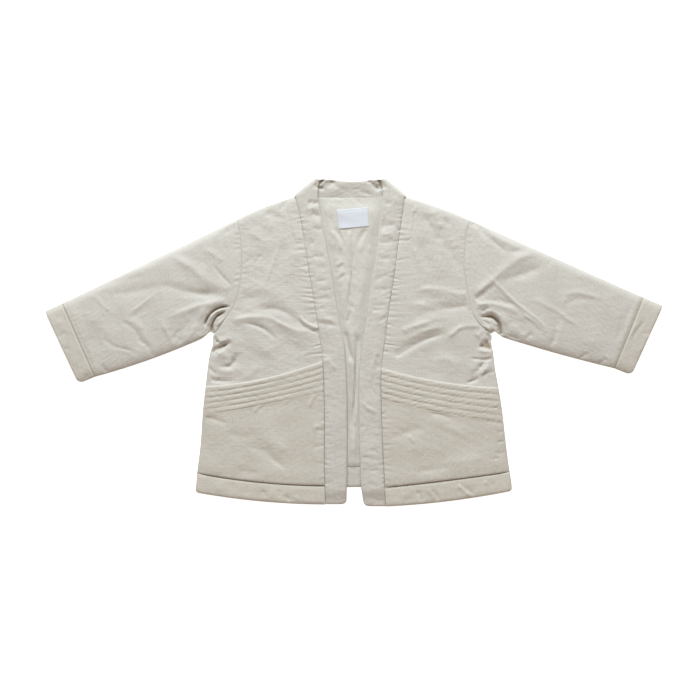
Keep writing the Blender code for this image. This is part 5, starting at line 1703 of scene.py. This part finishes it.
def makeBand():
    frees, seams, normals, thicks = bandStrip()
    middles = (frees + seams) / 2
    lengths = np.concatenate([[0], np.cumsum(np.linalg.norm(np.diff(middles, axis=0), axis=1))])

    def place(row, share, below):
        at = np.rint(row).astype(int)
        free, seam, normal, half = frees[at], seams[at], normals[at], thicks[at] / 2
        width = np.linalg.norm(free - seam, axis=1)
        fromSeam, fromFree = share * width, (1 - share) * width
        facing = normal[:, 2]
        spot = seam + (free - seam) * share[:, None]
        x, y = spot[:, 0], spot[:, 1]
        relief, fold = bandRelief(x, y, fromSeam, fromFree)
        # the painted shade goes only on the face that looks up
        fold = fold * np.abs(facing) * (below == (facing < 0))
        thin = bandShape["edgeThin"]
        body = half * (thin + (1 - thin) * dome(fromFree, bandShape["edgeRound"]))
        outer = body + bandShape["crown"] * 4 * share * (1 - share)
        outer = outer - groove(fromSeam, bandShape["outerGroove"])
        drop, reach = bandShape["seamDrop"]
        upright = np.clip(facing, 0, 1) ** 2
        outer = outer - drop * (1 - dome(fromSeam, reach)) * upright
        outer = np.maximum(outer + relief * upright, bandShape["leastOuter"])
        inner = body - groove(fromSeam, bandShape["innerGroove"]) + relief * np.clip(-facing, 0, 1) ** 2
        inner = np.maximum(inner, bandShape["lowest"])
        outer = np.maximum(outer, bandShape["leastThick"] - inner)
        spot = spot + normal * np.where(below, -inner, outer)[:, None]
        return spot[:, 0], spot[:, 1], spot[:, 2], (fromSeam, lengths[at]), fold

    rows = np.arange(len(frees), dtype=float)
    piece = laidPiece("collar_band_cloth", spread(*bandShape["acrossCells"]), rows, place, "shell")
    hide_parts("collar_band")


makeBand()
print("collar band laid")


# Stitching that shows: along the ribs, round the cuffs, by the neck and round the label.

stitch = {
    "pitch": 2.7,
    "length": 1.9,
    "radius": 0.17,
    "sides": 6,
    "rings": 4,
    "lift": 0.06,
    "neckLift": 0.1,
    "labelInset": 1,
    "neckLeft": [(-83, 165), (-79, 144), (-73, 124), (-58, 124)],
    "neckRight": [(77, 164), (75, 146), (73, 131), (62, 126)],
}


def sewLine(bm, points):
    # one small rounded stitch at each pitch along a line of places
    steps = np.linalg.norm(np.diff(points, axis=0), axis=1)
    gone = np.concatenate([[0], np.cumsum(steps)])
    starts = np.arange(stitch["pitch"] / 2, gone[-1] - stitch["length"], stitch["pitch"])

    def at(places):
        return np.stack([np.interp(places, gone, points[:, i]) for i in range(3)], 1)

    for near, far in zip(at(starts), at(starts + stitch["length"])):
        middle, run = Vector((near + far) / 2), Vector(far - near)
        turn = run.to_track_quat("X", "Z").to_matrix().to_4x4()
        size = Matrix.Diagonal((run.length / 2, stitch["radius"], stitch["radius"], 1))
        bmesh.ops.create_uvsphere(bm, u_segments=stitch["sides"], v_segments=stitch["rings"], radius=1,
                                  matrix=Matrix.Scale(mm, 4) @ Matrix.Translation(middle) @ turn @ size)


def lineOn(face, count=160, start=0.02, end=0.98):
    # a line over a face that takes shares from start to end
    places = np.linspace(start, end, count)
    x, y, z = face(places)[:3]
    return np.stack([x, y, z + stitch["lift"]], 1)


def sewnPath(half, points):
    # a line drawn on the front, lifted to its face
    path = smoothPath(points, 24)
    shares, rows = np.meshgrid(np.linspace(0.4, 1, 120), np.linspace(0, 1, 160))
    x, y, z, _ = frontFace(half, rows.ravel(), shares.ravel())
    nearest = [int(np.argmin((x - px) ** 2 + (y - py) ** 2)) for px, py in path]
    return np.stack([path[:, 0], path[:, 1], z[nearest] + stitch["neckLift"]], 1)


def makeStitching():
    bm = bmesh.new()
    for half in halves:
        for rib in range(1, pocketShape["ribs"] + 1):
            row = pocketTop + (ribEnd - pocketTop) * rib / pocketShape["ribs"]
            sewLine(bm, lineOn(lambda places: pocketFace(half, np.full_like(places, row), places)))
        along = 1 - sleeveShape["stitchFromSeam"][half["name"]] / sleeveShape["length"]
        onSleeve = lineOn(lambda places: sleeveFace(half, np.full_like(places, along), places), start=0.04,
                          end=0.96)
        sewLine(bm, onSleeve)
        sewLine(bm, sewnPath(half, stitch["neck" + half["name"].title()]))
    piece = addPiece("stitching", bm, None, "shell")
    piece.data.materials[0] = finishes["thread"]


def makeLabelStitching():
    bm = bmesh.new()
    wide, tall = (side / 2 - stitch["labelInset"] for side in label["size"])
    corners = [(-wide, tall), (wide, tall), (wide, -tall), (-wide, -tall), (-wide, tall)]
    for (startU, startV), (endU, endV) in zip(corners, corners[1:]):
        places = np.linspace(0, 1, 30)
        x, y, floor, wall = labelFace(mix(startU, endU, places), mix(startV, endV, places))
        sewLine(bm, np.stack([x, y, floor + wall], 1))
    piece = addPiece("label_stitching", bm, None, "label")
    piece.data.materials[0] = finishes["thread"]


makeStitching()
makeLabelStitching()
print("stitched")


# The studio: a pale floor, soft light from the top of the picture and a camera straight above.

studio = {
    "floorSize": 4,
    "floorDrop": 0.0002,
    "floorRoughness": 0.9,
    "floorColour": (0.9, 0.9, 0.9),
    "floorGlow": 0.8,  # the floor is burnt out to plain white in the picture
    "skyColour": (1.0, 0.86, 0.74),
    "sky": 0.46,
    "keyColour": (0.86, 0.97, 1.0),
    "key": 62.0,
    "keyFrom": (-0.07, 0.86, 0.56),
    "keyDistance": 2.4,
    "keySize": (1.0, 0.7),
    "viewCentre": (-4.4, -10.0),
    "viewWidth": 875.0,
    "cameraHeight": 3.2,
    "sensor": 36.0,
}


def makeFloor():
    bm = bmesh.new()
    bmesh.ops.create_grid(bm, x_segments=1, y_segments=1, size=studio["floorSize"])
    bmesh.ops.translate(bm, verts=bm.verts, vec=(0, 0, -studio["floorDrop"]))
    shape = bpy.data.meshes.new("floor")
    bm.to_mesh(shape)
    bm.free()
    paint, tree, shader = newMaterial("floor")
    seen = addNode(tree, "ShaderNodeLightPath").outputs["Is Camera Ray"]
    setInputs(tree, shader, {"Base Color": (*studio["floorColour"], 1), "Roughness": studio["floorRoughness"],
                             "Emission Color": (1, 1, 1, 1),
                             "Emission Strength": addMath(tree, "MULTIPLY", seen, studio["floorGlow"])})
    floor = bpy.data.objects.new("floor", shape)
    floor.data.materials.append(paint)
    bpy.context.scene.collection.objects.link(floor)


def makeStudio():
    scene = bpy.context.scene
    world = bpy.data.worlds.new("studio")
    world.use_nodes = True
    sky = world.node_tree.nodes["Background"]
    sky.inputs["Color"].default_value = (*studio["skyColour"], 1)
    sky.inputs["Strength"].default_value = studio["sky"]
    scene.world = world

    lamp = bpy.data.lights.new("key", "AREA")
    lamp.shape = "RECTANGLE"
    lamp.size, lamp.size_y = studio["keySize"]
    lamp.energy = studio["key"]
    lamp.color = studio["keyColour"]
    key = bpy.data.objects.new("key", lamp)
    away = Vector(studio["keyFrom"]).normalized()
    key.location = away * studio["keyDistance"]
    key.rotation_euler = away.to_track_quat("Z", "Y").to_euler()
    scene.collection.objects.link(key)

    lens = bpy.data.cameras.new("camera")
    lens.sensor_width = studio["sensor"]
    lens.lens = studio["sensor"] * studio["cameraHeight"] / (studio["viewWidth"] * mm)
    camera = bpy.data.objects.new("camera", lens)
    camera.location = (studio["viewCentre"][0] * mm, studio["viewCentre"][1] * mm, studio["cameraHeight"])
    scene.collection.objects.link(camera)
    scene.camera = camera
    scene.view_settings.view_transform = "Standard"


makeFloor()
makeStudio()
